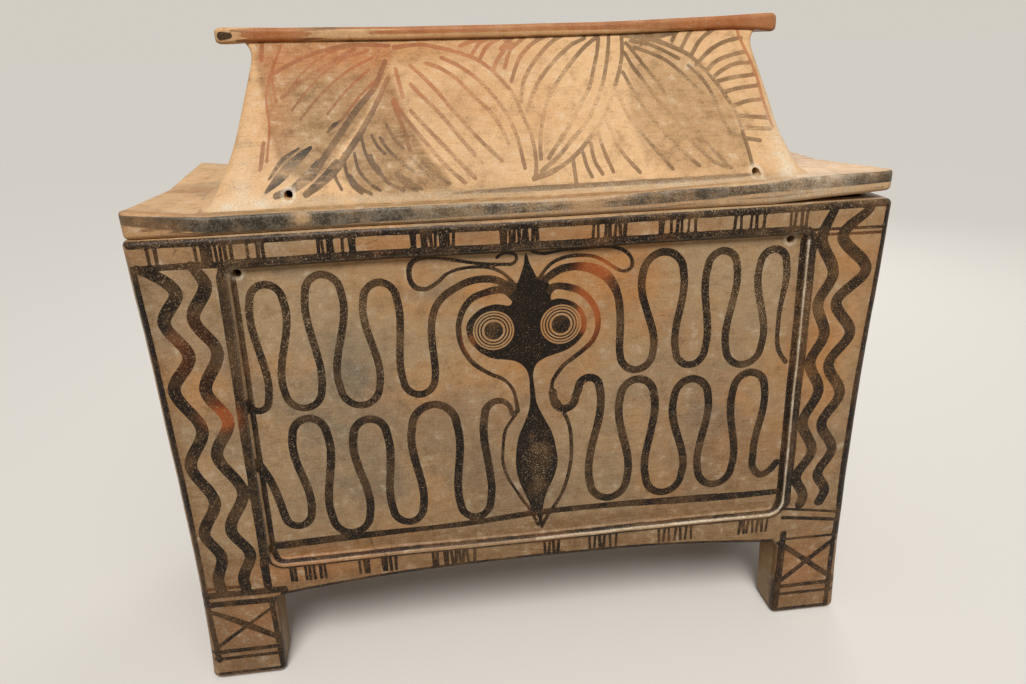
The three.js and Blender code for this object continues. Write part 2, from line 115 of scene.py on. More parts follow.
# Lid sizes that the frame's boxes don't show on their own
SLAB_THICKNESS = 26
SLAB_HEAD = SLAB_LOW + SLAB_THICKNESS
SLAB_ROUND = 7
SLAB_CORNER = 16
LEFT_CURL = 12
LEFT_CURL_LENGTH = 110
RIGHT_CURL = 16
RIGHT_CURL_LENGTH = 420
UNDER_CURL = 12
UNDER_CURL_LENGTH = 185
GABLE_LEFT = 414
GABLE_RIGHT = 402
GABLE_FOOT = 197
GABLE_HEAD = 33
LEFT_LEAN = 46
RIGHT_LEAN = 24
SLOPE_WALL = 24
END_WALL = 20
SLOPE_FLARE = 6
HIP_FLARE = 18
LEFT_SWEEP = 26
RIGHT_SWEEP = 40
SLOPE_FLARE_SHARE = 0.12
END_FLARE_SHARE = 0.45
RIDGE_THICKNESS = 19
GABLE_HEIGHT = 206
RIDGE_HEAD = SLAB_HEAD + GABLE_HEIGHT + RIDGE_THICKNESS
RIDGE_SAG = 8
LEFT_SWELL = 5
RIGHT_SWELL = 11
SWELL_LENGTH = 100
RIDGE_ROUND = 6
RIDGE_END_ROUND = 14

# Tie holes, through the chest's front and back panels and the lid's slopes
HOLE_RADIUS = 6
CHEST_HOLES = [(-400.7, 686), (389.7, 686)]
LID_HOLE_RISE = 15
LID_HOLES = [(x, SLAB_HEAD + LID_HOLE_RISE) for x in (-324, 343)]


def mix(start, end, share):
    return start + (end - start) * share


def limit(value, low=0.0, high=1.0):
    return np.clip(value, low, high)


def ease(share):
    share = limit(share)
    return share * share * (3 - 2 * share)


def round_off(distance, radius):
    """How far a quarter-round edge has drawn back at a distance from the edge."""
    inside = limit(radius - distance, 0, radius)
    return radius - np.sqrt(radius * radius - inside * inside)


def side_reach(z):
    """Half the chest's outer length at a height: wide at rim and feet, drawn in at the waist."""
    far = np.where(z > WAIST, RIM_REACH, FOOT_REACH)
    span = np.where(z > WAIST, RIM - WAIST, WAIST)
    share = (z - WAIST) / span
    return mix(WAIST_REACH, far, share * share)


def face_reach(z):
    return FACE + 0 * z


def opening_reach(z):
    """Half the length of the front opening, which widens slightly towards the foot."""
    return mix(OPENING_RIM_REACH, OPENING_FOOT_REACH, (RIM - z) / (RIM - SILL_HEAD))


def end_opening(z):
    return END_OPENING + 0 * z


# Noise that makes hand-made clay uneven

LATTICE = 40


def lattice_noise(points, cell, seed):
    """Smooth noise between -1 and 1, three values for each point."""
    table = np.random.default_rng(seed).uniform(-1, 1, (LATTICE, LATTICE, LATTICE, 3))
    scaled = points / cell
    base = np.floor(scaled).astype(int)
    part = ease(scaled - base)
    total = np.zeros_like(points)
    for corner in np.ndindex(2, 2, 2):
        weight = np.prod(np.where(corner, part, 1 - part), axis=1)
        index = (base + corner) % LATTICE
        total += weight[:, None] * table[index[:, 0], index[:, 1], index[:, 2]]
    return total


SWELL_CELL, SWELL_SEED = 210, 4
DENT_CELL, DENT_SEED = 55, 11
RIPPLE_CELL, RIPPLE_SEED = 13, 23
RIPPLE_SHARE = 0.11
DENT_SHARE = 0.36
FOOT_CALM = 40


def uneven(points):
    """Moves points as the whole hand-built chest swelled and sagged, so that neighbours stay flush."""
    amount = bpy.context.scene.clay_shape.unevenness / MM
    moved = lattice_noise(points, SWELL_CELL, SWELL_SEED)
    moved += DENT_SHARE * lattice_noise(points, DENT_CELL, DENT_SEED)
    moved += RIPPLE_SHARE * lattice_noise(points, RIPPLE_CELL, RIPPLE_SEED)
    moved[:, Z] *= limit(points[:, Z] / FOOT_CALM)
    return points + amount * moved


# Closed meshes


def grid_faces(rows, columns, start=0):
    """Quads of a grid of vertices, numbered row by row."""
    corner = start + np.arange(rows - 1)[:, None] * columns + np.arange(columns - 1)[None, :]
    corner = corner.ravel()
    return np.stack([corner, corner + 1, corner + columns + 1, corner + columns], axis=1).tolist()


def border(rows, columns, row_picks, column_picks):
    """Once round a grid: row and column of each vertex, and whether a coarse vertex lies there."""
    last_row, last_column = rows - 1, columns - 1
    around = [(0, column) for column in range(last_column)]
    around += [(row, last_column) for row in range(last_row)]
    around += [(last_row, column) for column in range(last_column, 0, -1)]
    around += [(row, 0) for row in range(last_row, 0, -1)]
    coarse = [
        (column in column_picks if row in (0, last_row) else True)
        and (row in row_picks if column in (0, last_column) else True)
        for row, column in around
    ]
    return around, coarse


def every(count, step):
    """Every so many of a row of vertices, with the first and the last."""
    return sorted(set(range(0, count, step)) | {count - 1})


def shell(outer, inner, step):
    """A wall with a fine outer sheet, and a coarser inner one that keeps only some of its points."""
    rows, columns = outer.shape[:2]
    row_picks = every(rows, step)
    column_picks = every(columns, step)
    inner = inner[np.ix_(row_picks, column_picks)]
    start = rows * columns
    faces = grid_faces(rows, columns)
    faces += [face[::-1] for face in grid_faces(len(row_picks), len(column_picks), start)]
    row_order = {row: place for place, row in enumerate(row_picks)}
    column_order = {column: place for place, column in enumerate(column_picks)}
    around, coarse = border(rows, columns, set(row_picks), set(column_picks))
    stops = [place for place, picked in enumerate(coarse) if picked]

    def behind(place):
        row, column = around[place % len(around)]
        return start + row_order[row] * len(column_picks) + column_order[column]

    for here, there in zip(stops, stops[1:] + [len(around)]):
        edge = [around[place % len(around)] for place in range(here, there + 1)]
        fine = [row * columns + column for row, column in edge]
        faces.append(fine[::-1] + [behind(here), behind(there)])
    return np.vstack([outer.reshape(-1, 3), inner.reshape(-1, 3)]), faces


def loft(sections):
    """A closed solid through a row of closed sections, with a flat cap at each end."""
    rows, columns = sections.shape[:2]
    place = np.arange(rows * columns).reshape(rows, columns)
    after = np.roll(place, -1, axis=1)
    sides = np.stack([place[:-1], after[:-1], after[1:], place[1:]], axis=-1)
    faces = sides.reshape(-1, 4).tolist()
    faces.append(place[0][::-1].tolist())
    faces.append(place[-1].tolist())
    return sections.reshape(-1, 3), faces


def stations(length, fine, coarse, band, first=()):
    """Places from 0 to length, close together near both ends and wider between."""
    count = int(round(band / fine))
    near = [*first, *(band * step / count for step in range(1, count + 1))]
    middle = int(round((length - 2 * band) / coarse))
    between = [mix(band, length - band, step / middle) for step in range(1, middle)]
    ends = sorted({0.0, *near})
    return np.array(ends + between + [length - place for place in reversed(ends)])


def evenly(start, end, step):
    count = max(1, int(round(abs(end - start) / step)))
    return np.linspace(start, end, count + 1)


SHARP_EDGE = math.radians(42)
WELD = 0.01


def fired_mesh(name, points, faces, holes=()):
    """A mesh in millimetres, with holes drilled through it level from front to back."""
    mesh = bpy.data.meshes.new(name)
    mesh.from_pydata(points.tolist(), [], faces)
    work = bmesh.new()
    work.from_mesh(mesh)
    bmesh.ops.remove_doubles(work, verts=work.verts, dist=WELD)
    bmesh.ops.recalc_face_normals(work, faces=work.faces)
    work.to_mesh(mesh)
    work.free()
    for hole in holes:
        mesh = drilled(mesh, hole)
    return mesh


def lofted(name, sections):
    return fired_mesh(name, *loft(np.array(sections)))


DRILL_SIDES = 28
DRILL_LENGTH = 90


def drilled(mesh, hole):
    """The mesh with a round hole through it, level and from front to back."""
    body = bpy.data.objects.new("body", mesh)
    work = bmesh.new()
    turn = Matrix.Translation(Vector(hole)) @ Matrix.Rotation(math.radians(90), 4, "X")
    bmesh.ops.create_cone(
        work,
        cap_ends=True,
        segments=DRILL_SIDES,
        radius1=HOLE_RADIUS,
        radius2=HOLE_RADIUS,
        depth=DRILL_LENGTH,
        matrix=turn,
    )
    drill_mesh = bpy.data.meshes.new("drill")
    work.to_mesh(drill_mesh)
    work.free()
    drill = bpy.data.objects.new("drill", drill_mesh)
    for each in (body, drill):
        bpy.context.scene.collection.objects.link(each)
    cut = body.modifiers.new("hole", "BOOLEAN")
    cut.operation = "DIFFERENCE"
    cut.solver = "EXACT"
    cut.object = drill
    graph = bpy.context.evaluated_depsgraph_get()
    pierced = bpy.data.meshes.new_from_object(body.evaluated_get(graph))
    for each in (body, drill):
        bpy.data.objects.remove(each)
    return pierced


def coordinates(mesh):
    places = np.zeros(len(mesh.vertices) * 3)
    mesh.vertices.foreach_get("co", places)
    return places.reshape(-1, 3)


def add_piece(node, mesh, paint, material, body):
    """Paints the mesh, makes it uneven and puts it in the node's place."""
    points = coordinates(mesh)
    for name, values in paint(points).items():
        field = mesh.attributes.new(name, "FLOAT", "POINT")
        field.data.foreach_set("value", values.astype(np.float32))
    mesh.vertices.foreach_set("co", (uneven(points) * MM).ravel())
    mesh.shade_smooth()
    mesh.set_sharp_from_angle(angle=SHARP_EDGE)
    mesh.update()
    mesh.materials.clear()
    mesh.materials.append(material)
    piece = bpy.data.objects.new(f"{node}_fired", mesh)
    mesh.name = piece.name
    bpy.context.scene.collection.objects.link(piece)
    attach(piece, body)
    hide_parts(node)


# The chest's four walls


class Wall:
    """A side of the chest as seen from outside: along it, the depth behind its face, and up."""

    def __init__(self, side, along, out, reach, opening, arch, leg_inner):
        self.side = side
        self.along = np.array(along, float)
        self.out = np.array(out, float)
        self.reach = reach
        self.opening = opening
        self.arch = arch
        self.leg_inner = leg_inner
        self.edge = under_edge(self)

    def place(self, along, depth, z):
        along, depth, z = np.broadcast_arrays(along, depth, z)
        outward = (self.reach(z) - depth)[..., None] * self.out
        return along[..., None] * self.along + outward + z[..., None] * np.array((0, 0, 1))

    def view(self, points):
        """Along, depth and height of points."""
        along = points @ self.along
        return along, self.reach(points[:, Z]) - points @ self.out, points[:, Z]


def arch_underside(wall, along):
    half = wall.opening(BODY_FOOT)
    share = limit(along / half, -1, 1)
    fallen = round_off(half * (1 - np.abs(share)), LEG_FILLET)
    return BODY_FOOT + wall.arch * (1 - share * share) - fallen


ARCH_STEPS = 40
FILLET_STEPS = 10


def under_edge(wall):
    """The lower edge of the face for one half: up the leg, round the fillet and along the arch."""
    half = float(wall.opening(BODY_FOOT))
    turned = np.linspace(0, math.pi / 2, FILLET_STEPS)
    fillet = half - LEG_FILLET * (1 - np.cos(turned))
    arch = np.linspace(half - LEG_FILLET, 0, ARCH_STEPS)[1:]
    along = np.concatenate([[wall.leg_inner], fillet, arch])
    heights = arch_underside(wall, along)
    heights[0] = 0
    return np.stack([along, heights], axis=1)


def from_segment(places, start, end):
    """How far along a segment each place lies, as a share of it, and how far off it."""
    run = end - start
    share = limit(((places - start) @ run) / max(run @ run, TINY))
    return share, np.hypot(*(places - start - share[:, None] * run).T)


def line_distance(places, line):
    """The distance of each place from a line of points."""
    nearest = np.full(len(places), np.inf)
    for start, end in zip(line[:-1], line[1:]):
        nearest = np.minimum(nearest, from_segment(places, start, end)[1])
    return nearest


MOULDING_WIDTH = 8
LIP_RISE = 1.6
LIP_WIDTH = 7
LIP_STEEPNESS = 4


def opening_distance(wall, along, z):
    """How far inside the recessed opening a place lies; its corners are rounded."""
    beside = wall.opening(z) - np.abs(along)
    below = RAIL_FOOT - z
    above = z - SILL_HEAD
    upright = np.minimum(below, above)
    corner = np.where(below < above, HEAD_CORNER, SILL_CORNER)
    in_corner = (beside < corner) & (upright < corner)
    rounded = corner - np.hypot(corner - beside, corner - upright)
    return np.where(in_corner, rounded, np.minimum(beside, upright))


def relief(wall, along, z):
    """How far the face lies back: recess, low lip round it, and rounded rim and under-edge."""
    along, z = np.broadcast_arrays(np.asarray(along, float), np.asarray(z, float))
    inside = opening_distance(wall, along, z)
    depth = RECESS * ease(inside / MOULDING_WIDTH)
    from_lip = (inside + LIP_WIDTH / 2) / LIP_WIDTH
    depth = depth - LIP_RISE * np.exp(-LIP_STEEPNESS * from_lip * from_lip)
    depth = depth + round_off(RIM - z, RIM_ROUND)
    low = (z < LEG_HEAD + SILL_ROUND) & (np.abs(along) < wall.leg_inner + SILL_ROUND)
    if low.any():
        places = np.stack([np.abs(along[low]), z[low]], axis=1)
        depth = depth.copy()
        depth[low] += round_off(line_distance(places, wall.edge), SILL_ROUND)
    return depth


WALLS = {
    "front": Wall("front", (1, 0, 0), (0, -1, 0), face_reach, opening_reach, SILL_ARCH, FOOT_INNER),
    "back": Wall("back", (-1, 0, 0), (0, 1, 0), face_reach, opening_reach, SILL_ARCH, FOOT_INNER),
    "left": Wall("left", (0, -1, 0), (-1, 0, 0), side_reach, end_opening, END_SILL_ARCH, END_FOOT_INNER),
    "right": Wall("right", (0, 1, 0), (1, 0, 0), side_reach, end_opening, END_SILL_ARCH, END_FOOT_INNER),
}

FINE, COARSE = 1.2, 2.4
EDGE_BAND = 24
CORNER_STARTS = (0.1, 0.4)
INNER_STEP = 5


def wall_shares(wall):
    """Places along a wall's opening, from -1 to 1, dense beside the posts."""
    length = 2 * float(wall.opening(RAIL_FOOT))
    return 2 * stations(length, FINE, COARSE, EDGE_BAND, CORNER_STARTS) / length - 1


def panel_mesh(wall, holes):
    shares = wall_shares(wall)
    heights = SILL_HEAD + stations(RAIL_FOOT - SILL_HEAD, FINE, COARSE, EDGE_BAND)
    z = heights[:, None] + 0 * shares[None, :]
    along = shares[None, :] * wall.opening(z)
    outer = wall.place(along, relief(wall, along, z), z)
    sheets = shell(outer, wall.place(along, WALL, z), INNER_STEP)
    return fired_mesh(f"{wall.side}_panel", *sheets, holes)


def wall_loft(wall, name, section_at):
    """Sections across a wall, one for each place along it: depth and height of each point."""
    sections = []
    for share in wall_shares(wall):
        depth, z = section_at(share)
        sections.append(wall.place(share * wall.opening(z), depth, z))
    return lofted(f"{wall.side}_{name}", sections)


RIM_STEPS = 6


def rim_heights(foot):
    """Heights up to the rim, closer together where the rim is rounded."""
    turned = np.linspace(0, math.pi / 2, RIM_STEPS + 1)[1:]
    straight = evenly(foot, RIM - RIM_ROUND, COARSE)
    return np.concatenate([straight, RIM - RIM_ROUND * (1 - np.sin(turned))])


def rail_mesh(wall):
    z = rim_heights(RAIL_FOOT)
    top = evenly(RIM_ROUND, WALL, 3 * COARSE)[1:]
    back = evenly(RIM, RAIL_FOOT, 3 * COARSE)[1:]

    def section_at(share):
        face = relief(wall, share * wall.opening(z), z)
        depth = np.concatenate([face, top, np.full(len(back), float(WALL))])
        return depth, np.concatenate([z, np.full(len(top), RIM), back])

    return wall_loft(wall, "rail", section_at)


SILL_ROWS = 27
SILL_BACK_ROWS = 6


def sill_mesh(wall):
    def section_at(share):
        low = float(arch_underside(wall, share * wall.opening(BODY_FOOT)))
        z = mix(SILL_HEAD, low, np.linspace(0, 1, SILL_ROWS))
        face = relief(wall, share * wall.opening(z), z)
        under = mix(face[-1], WALL, np.linspace(0, 1, SILL_BACK_ROWS))[1:]
        back = mix(low, SILL_HEAD, np.linspace(0, 1, SILL_BACK_ROWS))[1:]
        depth = np.concatenate([face, under, np.full(len(back), float(WALL))])
        return depth, np.concatenate([z, np.full(len(under), low), back])

    return wall_loft(wall, "sill", section_at)


# Corner posts, each running down into its leg

CORNER_STEPS = 9
NOTCH_STEPS = 12
POST_FRONT = RIM_REACH - CORNER_ROUND - OPENING_RIM_REACH
POST_END = FACE - CORNER_ROUND - END_OPENING
POST_FRONT_SHARES = stations(POST_FRONT, FINE, COARSE, EDGE_BAND / 2, CORNER_STARTS) / POST_FRONT
POST_END_SHARES = stations(POST_END, FINE, COARSE, EDGE_BAND / 2, CORNER_STARTS) / POST_END


def post_outline(z, sign_x, sign_y, notched):
    """A post's section at a height: its two faces, then its inner sides back to the start."""
    front = WALLS["front"] if sign_y < 0 else WALLS["back"]
    end = WALLS["left"] if sign_x < 0 else WALLS["right"]
    reach = float(side_reach(z))
    rise = limit(z / BODY_FOOT)
    start = mix(FOOT_INNER, opening_reach(max(z, BODY_FOOT)), rise)
    finish = mix(END_FOOT_INNER, END_OPENING, rise)
    across = mix(start, reach - CORNER_ROUND, POST_FRONT_SHARES)
    down = mix(finish, FACE - CORNER_ROUND, POST_END_SHARES)
    face_depth = relief(front, across, np.full(len(across), z))
    end_depth = relief(end, down, np.full(len(down), z))
    turn = np.linspace(math.pi / 2, 0, CORNER_STEPS + 1)[1:-1]
    radius = CORNER_ROUND - float(round_off(RIM - z, RIM_ROUND))
    corner_x = reach - CORNER_ROUND + radius * np.cos(turn)
    corner_y = FACE - CORNER_ROUND + radius * np.sin(turn)
    outline = [
        np.stack([across, FACE - face_depth], axis=1),
        np.stack([corner_x, corner_y], axis=1),
        np.stack([reach - end_depth, down], axis=1)[::-1],
    ]
    stops = [
        (reach - end_depth[0], finish),
        (reach - WALL, finish),
        (reach - WALL, FACE - WALL) if notched else (start, finish),
        (start, FACE - WALL),
        (start, FACE - face_depth[0]),
    ]
    stops = np.array(stops)
    for here, there in zip(stops[:-1], stops[1:]):
        share = np.linspace(0, 1, NOTCH_STEPS + 1)[1:, None]
        outline.append(mix(here, there, share))
    points = np.vstack(outline)[:-1]
    if z < FOOT_ROUND:
        drawn = float(round_off(z, FOOT_ROUND))
        centre = np.array([(start + reach) / 2, (finish + FACE) / 2])
        half = np.array([(reach - start) / 2, (FACE - finish) / 2])
        points = centre + (points - centre) * (1 - drawn / half)
    signed = points * np.array([sign_x, sign_y])
    return np.column_stack([signed, np.full(len(points), z)])


FOOT_STEPS = 7


def post_mesh(name, sign_x, sign_y):
    turned = np.linspace(0, math.pi / 2, FOOT_STEPS + 1)
    foot = FOOT_ROUND * (1 - np.cos(turned))
    leg = evenly(FOOT_ROUND, LEG_HEAD, COARSE)[1:]
    body = rim_heights(LEG_HEAD)
    stops = [(z, False) for z in [*foot, *leg]] + [(z, True) for z in body]
    return lofted(name, [post_outline(z, sign_x, sign_y, notched) for z, notched in stops])


FLOOR_GRID = 12
FLOOR_UNDER_STEP = 2


def floor_mesh():
    reach = float(side_reach(FLOOR_HIGH)) - WALL
    depth = FACE - WALL
    rows = evenly(-depth, depth, FLOOR_GRID)
    columns = evenly(-reach, reach, FLOOR_GRID)
    y, x = np.meshgrid(rows, columns, indexing="ij")
    top = np.dstack([x, y, np.full(x.shape, FLOOR_HIGH)])
    under = np.dstack([x, y, np.full(x.shape, FLOOR_LOW)])
    return fired_mesh("chest_floor", *shell(top, under, FLOOR_UNDER_STEP))


# The lid's slab


def curl(along, across, height, length):
    """How far a corner of the slab has lifted in drying."""
    return height * limit((along - SLAB_REACH + length) / length) * limit(across / SLAB_FACE)


def slab_top(x, y):
    left = curl(-x, np.abs(y), LEFT_CURL, LEFT_CURL_LENGTH)
    return SLAB_HEAD + left + curl(x, -y, RIGHT_CURL, RIGHT_CURL_LENGTH)


def slab_underside(x, y):
    return SLAB_LOW + curl(x, -y, UNDER_CURL, UNDER_CURL_LENGTH)


SLAB_ROUND_STEPS = 6
SLAB_EDGE_STEPS = 5
END_FINE = 0.8
SLAB_END_BAND = 12


def slab_profile(inner, outer):
    """A strip's section: distance out, drop from the top or rise from below, and which of the two."""
    turned = np.linspace(0, math.pi / 2, SLAB_ROUND_STEPS + 1)
    reach_round = outer - SLAB_ROUND * (1 - np.sin(turned))
    drop_round = SLAB_ROUND * (1 - np.cos(turned))
    top = evenly(inner, outer - SLAB_ROUND, COARSE)
    under = evenly(outer - SLAB_ROUND, inner, 2 * COARSE)
    edge = np.linspace(0, 1, SLAB_EDGE_STEPS + 1)[1:-1]
    stretches = [
        (top, 0 * top, 0 * top),
        (reach_round[1:], drop_round[1:], 0 * drop_round[1:]),
        (outer + 0 * edge, SLAB_ROUND + 0 * edge, edge),
        (reach_round[::-1], drop_round[::-1], 1 + 0 * drop_round),
        (under[1:], 0 * under[1:], 1 + 0 * under[1:]),
    ]
    return [np.concatenate(parts) for parts in zip(*stretches)]


def slab_height(x, y, drop, low_side):
    high = slab_top(x, y) - drop
    low = slab_underside(x, y) + drop
    return mix(high, low, low_side)


def long_slab_mesh(name, sign):
    inner = GABLE_FOOT - SLOPE_WALL
    reach, drop, low_side = slab_profile(inner, SLAB_FACE)
    places = stations(2 * SLAB_REACH, END_FINE, COARSE, SLAB_END_BAND, CORNER_STARTS) - SLAB_REACH
    sections = []
    for x in places:
        from_end = SLAB_REACH - abs(x)
        drawn = float(round_off(from_end, SLAB_ROUND))
        corner = float(round_off(from_end, SLAB_CORNER))
        share = (reach - inner) / (SLAB_FACE - inner)
        y = sign * (reach - corner * share)
        z = slab_height(x, y, np.maximum(drop, drawn), low_side)
        sections.append(np.column_stack([np.full(len(y), x), y, z]))
    return lofted(name, sections)


def end_slab_mesh(name, sign, foot_reach):
    half = GABLE_FOOT - SLOPE_WALL
    reach, drop, low_side = slab_profile(foot_reach - END_WALL, SLAB_REACH)
    sections = []
    for y in evenly(-half, half, COARSE):
        x = sign * reach
        z = slab_height(x, y, drop, low_side)
        sections.append(np.column_stack([x, np.full(len(x), y), z]))
    return lofted(name, sections)


# The gable's walls


def ridge_top(x):
    share = x / RIDGE_RIGHT
    return RIDGE_HEAD + RIDGE_SAG * share * share


def ridge_thickness(x):
    reach = np.where(x < 0, RIDGE_LEFT, RIDGE_RIGHT)
    swell = np.where(x < 0, LEFT_SWELL, RIGHT_SWELL)
    share = limit((np.abs(x) - reach + SWELL_LENGTH) / SWELL_LENGTH)
    return RIDGE_THICKNESS + swell * share * share


def flare(amount, rise, height):
    share = limit(1 - rise / height)
    return amount * share * share


def gable_reach(sign, rise):
    reach, lean = (GABLE_LEFT, LEFT_LEAN) if sign < 0 else (GABLE_RIGHT, RIGHT_LEAN)
    return reach - lean * rise


def gable_depth(rise):
    return mix(GABLE_FOOT, GABLE_HEAD, rise)


HIP_ROUND = 9
FOOT_FILLET = 9
HIP_STEPS = 5
HEAD_FILLET = 15
HEAD_FILLET_DROP = 34

# How the gable's sheets are divided, as shares of their height and length
GABLE_SUNK_SHARE = 0.012
FOOT_ZONE_SHARE = 0.35
FOOT_ZONE_SHARES = (0.004, 0.011, 0.08)
FOOT_ZONE_LAST = -8
HEAD_ZONE_SHARE = 0.3
HEAD_ZONE_STEPS = 66
SLOPE_SHARES = (0.004, 0.003, 0.02)
END_SHARES = (0.008, 0.0065, 0.03)


def fillet(height):
    """How far the foot of a wall runs out where it is smoothed onto the slab."""
    inside = limit(FOOT_FILLET - height, 0, FOOT_FILLET)
    return FOOT_FILLET - np.sqrt(FOOT_FILLET**2 - inside**2 + TINY)


def gable_rises():
    """Rises from just under the slab's top to just inside the ridge, close together at the foot."""
    low = stations(FOOT_ZONE_SHARE, *FOOT_ZONE_SHARES)[:FOOT_ZONE_LAST]
    high = np.linspace(HEAD_ZONE_SHARE, 1 + GABLE_SUNK_SHARE, HEAD_ZONE_STEPS)
    return np.unique(np.concatenate([[-GABLE_SUNK_SHARE], low, high]))[:, None]


def across_sheet(start, end, shares):
    """Places across a sheet between its rounded corners, and how far it has drawn in at each."""
    turned = np.linspace(math.pi / 4, 0, HIP_STEPS + 1)
    run = HIP_ROUND * (1 - np.sin(turned))
    drawn = HIP_ROUND * (1 - np.cos(turned))
    middle = stations(1, *shares)[1:-1][None, :]
    between = mix(start + HIP_ROUND, end - HIP_ROUND, middle)
    inset = np.concatenate([drawn, 0 * middle[0], drawn[::-1]])[None, :]
    return np.hstack([start + run, between, end - run[::-1]]), inset


def hip_reach(sign, rises):
    """How far an end of the gable reaches, with its flared foot and its smoothed head."""
    flared = flare(HIP_FLARE, rises, END_FLARE_SHARE) + head_fillet(rises)
    return gable_reach(sign, rises) + flared


def head_fillet(rise):
    """How far the top of an end runs out where it is smoothed onto the ridge."""
    drop = (1 - rise) * (RIDGE_HEAD - RIDGE_THICKNESS - SLAB_HEAD)
    share = limit(1 - drop / HEAD_FILLET_DROP)
    return HEAD_FILLET * share**3


def slope_mesh(name, sign, holes):
    rises = gable_rises()
    x, inset = across_sheet(-hip_reach(-1, rises), hip_reach(1, rises), SLOPE_SHARES)
    z = mix(SLAB_HEAD, ridge_top(x) - ridge_thickness(x), rises)
    y = gable_depth(rises) + flare(SLOPE_FLARE, rises, SLOPE_FLARE_SHARE) - inset
    y = y + fillet(z - slab_top(x, sign * y))
    deep = np.broadcast_to(gable_depth(rises) - SLOPE_WALL, x.shape)
    sheets = shell(np.dstack([x, sign * y, z]), np.dstack([x, sign * deep, z]), INNER_STEP)
    return fired_mesh(name, *sheets, holes)


def gable_mesh(name, sign, sweep):
    rises = gable_rises()
    half = gable_depth(rises) + flare(SLOPE_FLARE, rises, SLOPE_FLARE_SHARE)
    y, inset = across_sheet(-half, half, END_SHARES)
    across = y / half
    bulge = flare(sweep, rises, END_FLARE_SHARE) * (1 - across * across)
    reach = hip_reach(sign, rises) + bulge - inset
    z = mix(SLAB_HEAD, ridge_top(sign * reach) - ridge_thickness(sign * reach), rises)
    reach = reach + fillet(z - slab_top(sign * reach, y))
    deep = np.broadcast_to(gable_reach(sign, rises) - END_WALL, y.shape)
    sheets = shell(np.dstack([sign * reach, y, z]), np.dstack([sign * deep, y, z]), INNER_STEP)
    return fired_mesh(name, *sheets)


RIDGE_ROUND_STEPS = 4
RIDGE_FLAT_POINTS = 28
RIDGE_SIDE_POINTS = 5
LEFT_END_SHARE = 0.5
RIGHT_END_SHARE = 0.8
END_EDGE_SHARE = 0.25


def ridge_mesh():
    """The plank that closes the gable: rounded edges, rounder ends and thicker towards them."""
    length = RIDGE_LEFT + RIDGE_RIGHT
    places = stations(length, END_FINE, COARSE, RIDGE_END_ROUND, CORNER_STARTS) - RIDGE_LEFT
    turned = np.linspace(0, math.pi / 2, RIDGE_ROUND_STEPS + 1)
    sections = []
    for x in places:
        reach = RIDGE_LEFT if x < 0 else RIDGE_RIGHT
        drawn = float(round_off(reach - abs(x), RIDGE_END_ROUND))
        edge = RIDGE_ROUND - drawn * END_EDGE_SHARE
        half = RIDGE_HALF - drawn
        sunk = drawn * (LEFT_END_SHARE if x < 0 else RIGHT_END_SHARE)
        high = float(ridge_top(x)) - sunk
        low = float(ridge_top(x) - ridge_thickness(x)) + sunk
        corner_y = half - edge + edge * np.sin(turned)
        corner_z = edge - edge * np.cos(turned)
        flat = np.linspace(edge - half, half - edge, RIDGE_FLAT_POINTS)
        side = np.linspace(high - edge, low + edge, RIDGE_SIDE_POINTS)[1:-1]
        under = flat[::-1][1:-1]
        round_section = [
            (flat, high + 0 * flat),
            (corner_y[1:], high - corner_z[1:]),
            (half + 0 * side, side),
            (corner_y[::-1], low + corner_z[::-1]),
            (under, low + 0 * under),
            (-corner_y, low + corner_z),
            (0 * side - half, side[::-1]),
            (-corner_y[::-1][:-1], high - corner_z[::-1][:-1]),
        ]
        y, z = (np.concatenate(parts) for parts in zip(*round_section))
        sections.append(np.column_stack([np.full(len(y), x), y, z]))
    return lofted("ridge", sections)


# Shader maths as plain expressions


class Value:
    """A number socket in a shader; sums, differences and products of it add Math nodes."""

    def __init__(self, graph, socket):
        self.graph = graph
        self.socket = socket

    def __add__(self, other):
        return self.graph.maths("ADD", self, other)

    def __radd__(self, other):
        return self.graph.maths("ADD", other, self)

    def __sub__(self, other):
        return self.graph.maths("SUBTRACT", self, other)

    def __rsub__(self, other):
        return self.graph.maths("SUBTRACT", other, self)

    def __mul__(self, other):
        return self.graph.maths("MULTIPLY", self, other)

    def __rmul__(self, other):
        return self.graph.maths("MULTIPLY", other, self)

    def clamped(self):
        return self.graph.maths("ADD", self, 0.0, clamp=True)

    def over(self, low, high):
        """0 below low, 1 above high, and a smooth rise between; falls if high is the lower."""
        falls = high < low
        made = self.graph.node(
            "ShaderNodeMapRange",
            {"interpolation_type": "SMOOTHSTEP"},
            Value=self,
            From_Min=min(low, high),
            From_Max=max(low, high),
            To_Min=1.0 if falls else 0.0,
            To_Max=0.0 if falls else 1.0,
        )
        return Value(self.graph, made["Result"])

    def larger(self, other):
        return self.graph.maths("MAXIMUM", self, other)

    def smaller(self, other):
        return self.graph.maths("MINIMUM", self, other)


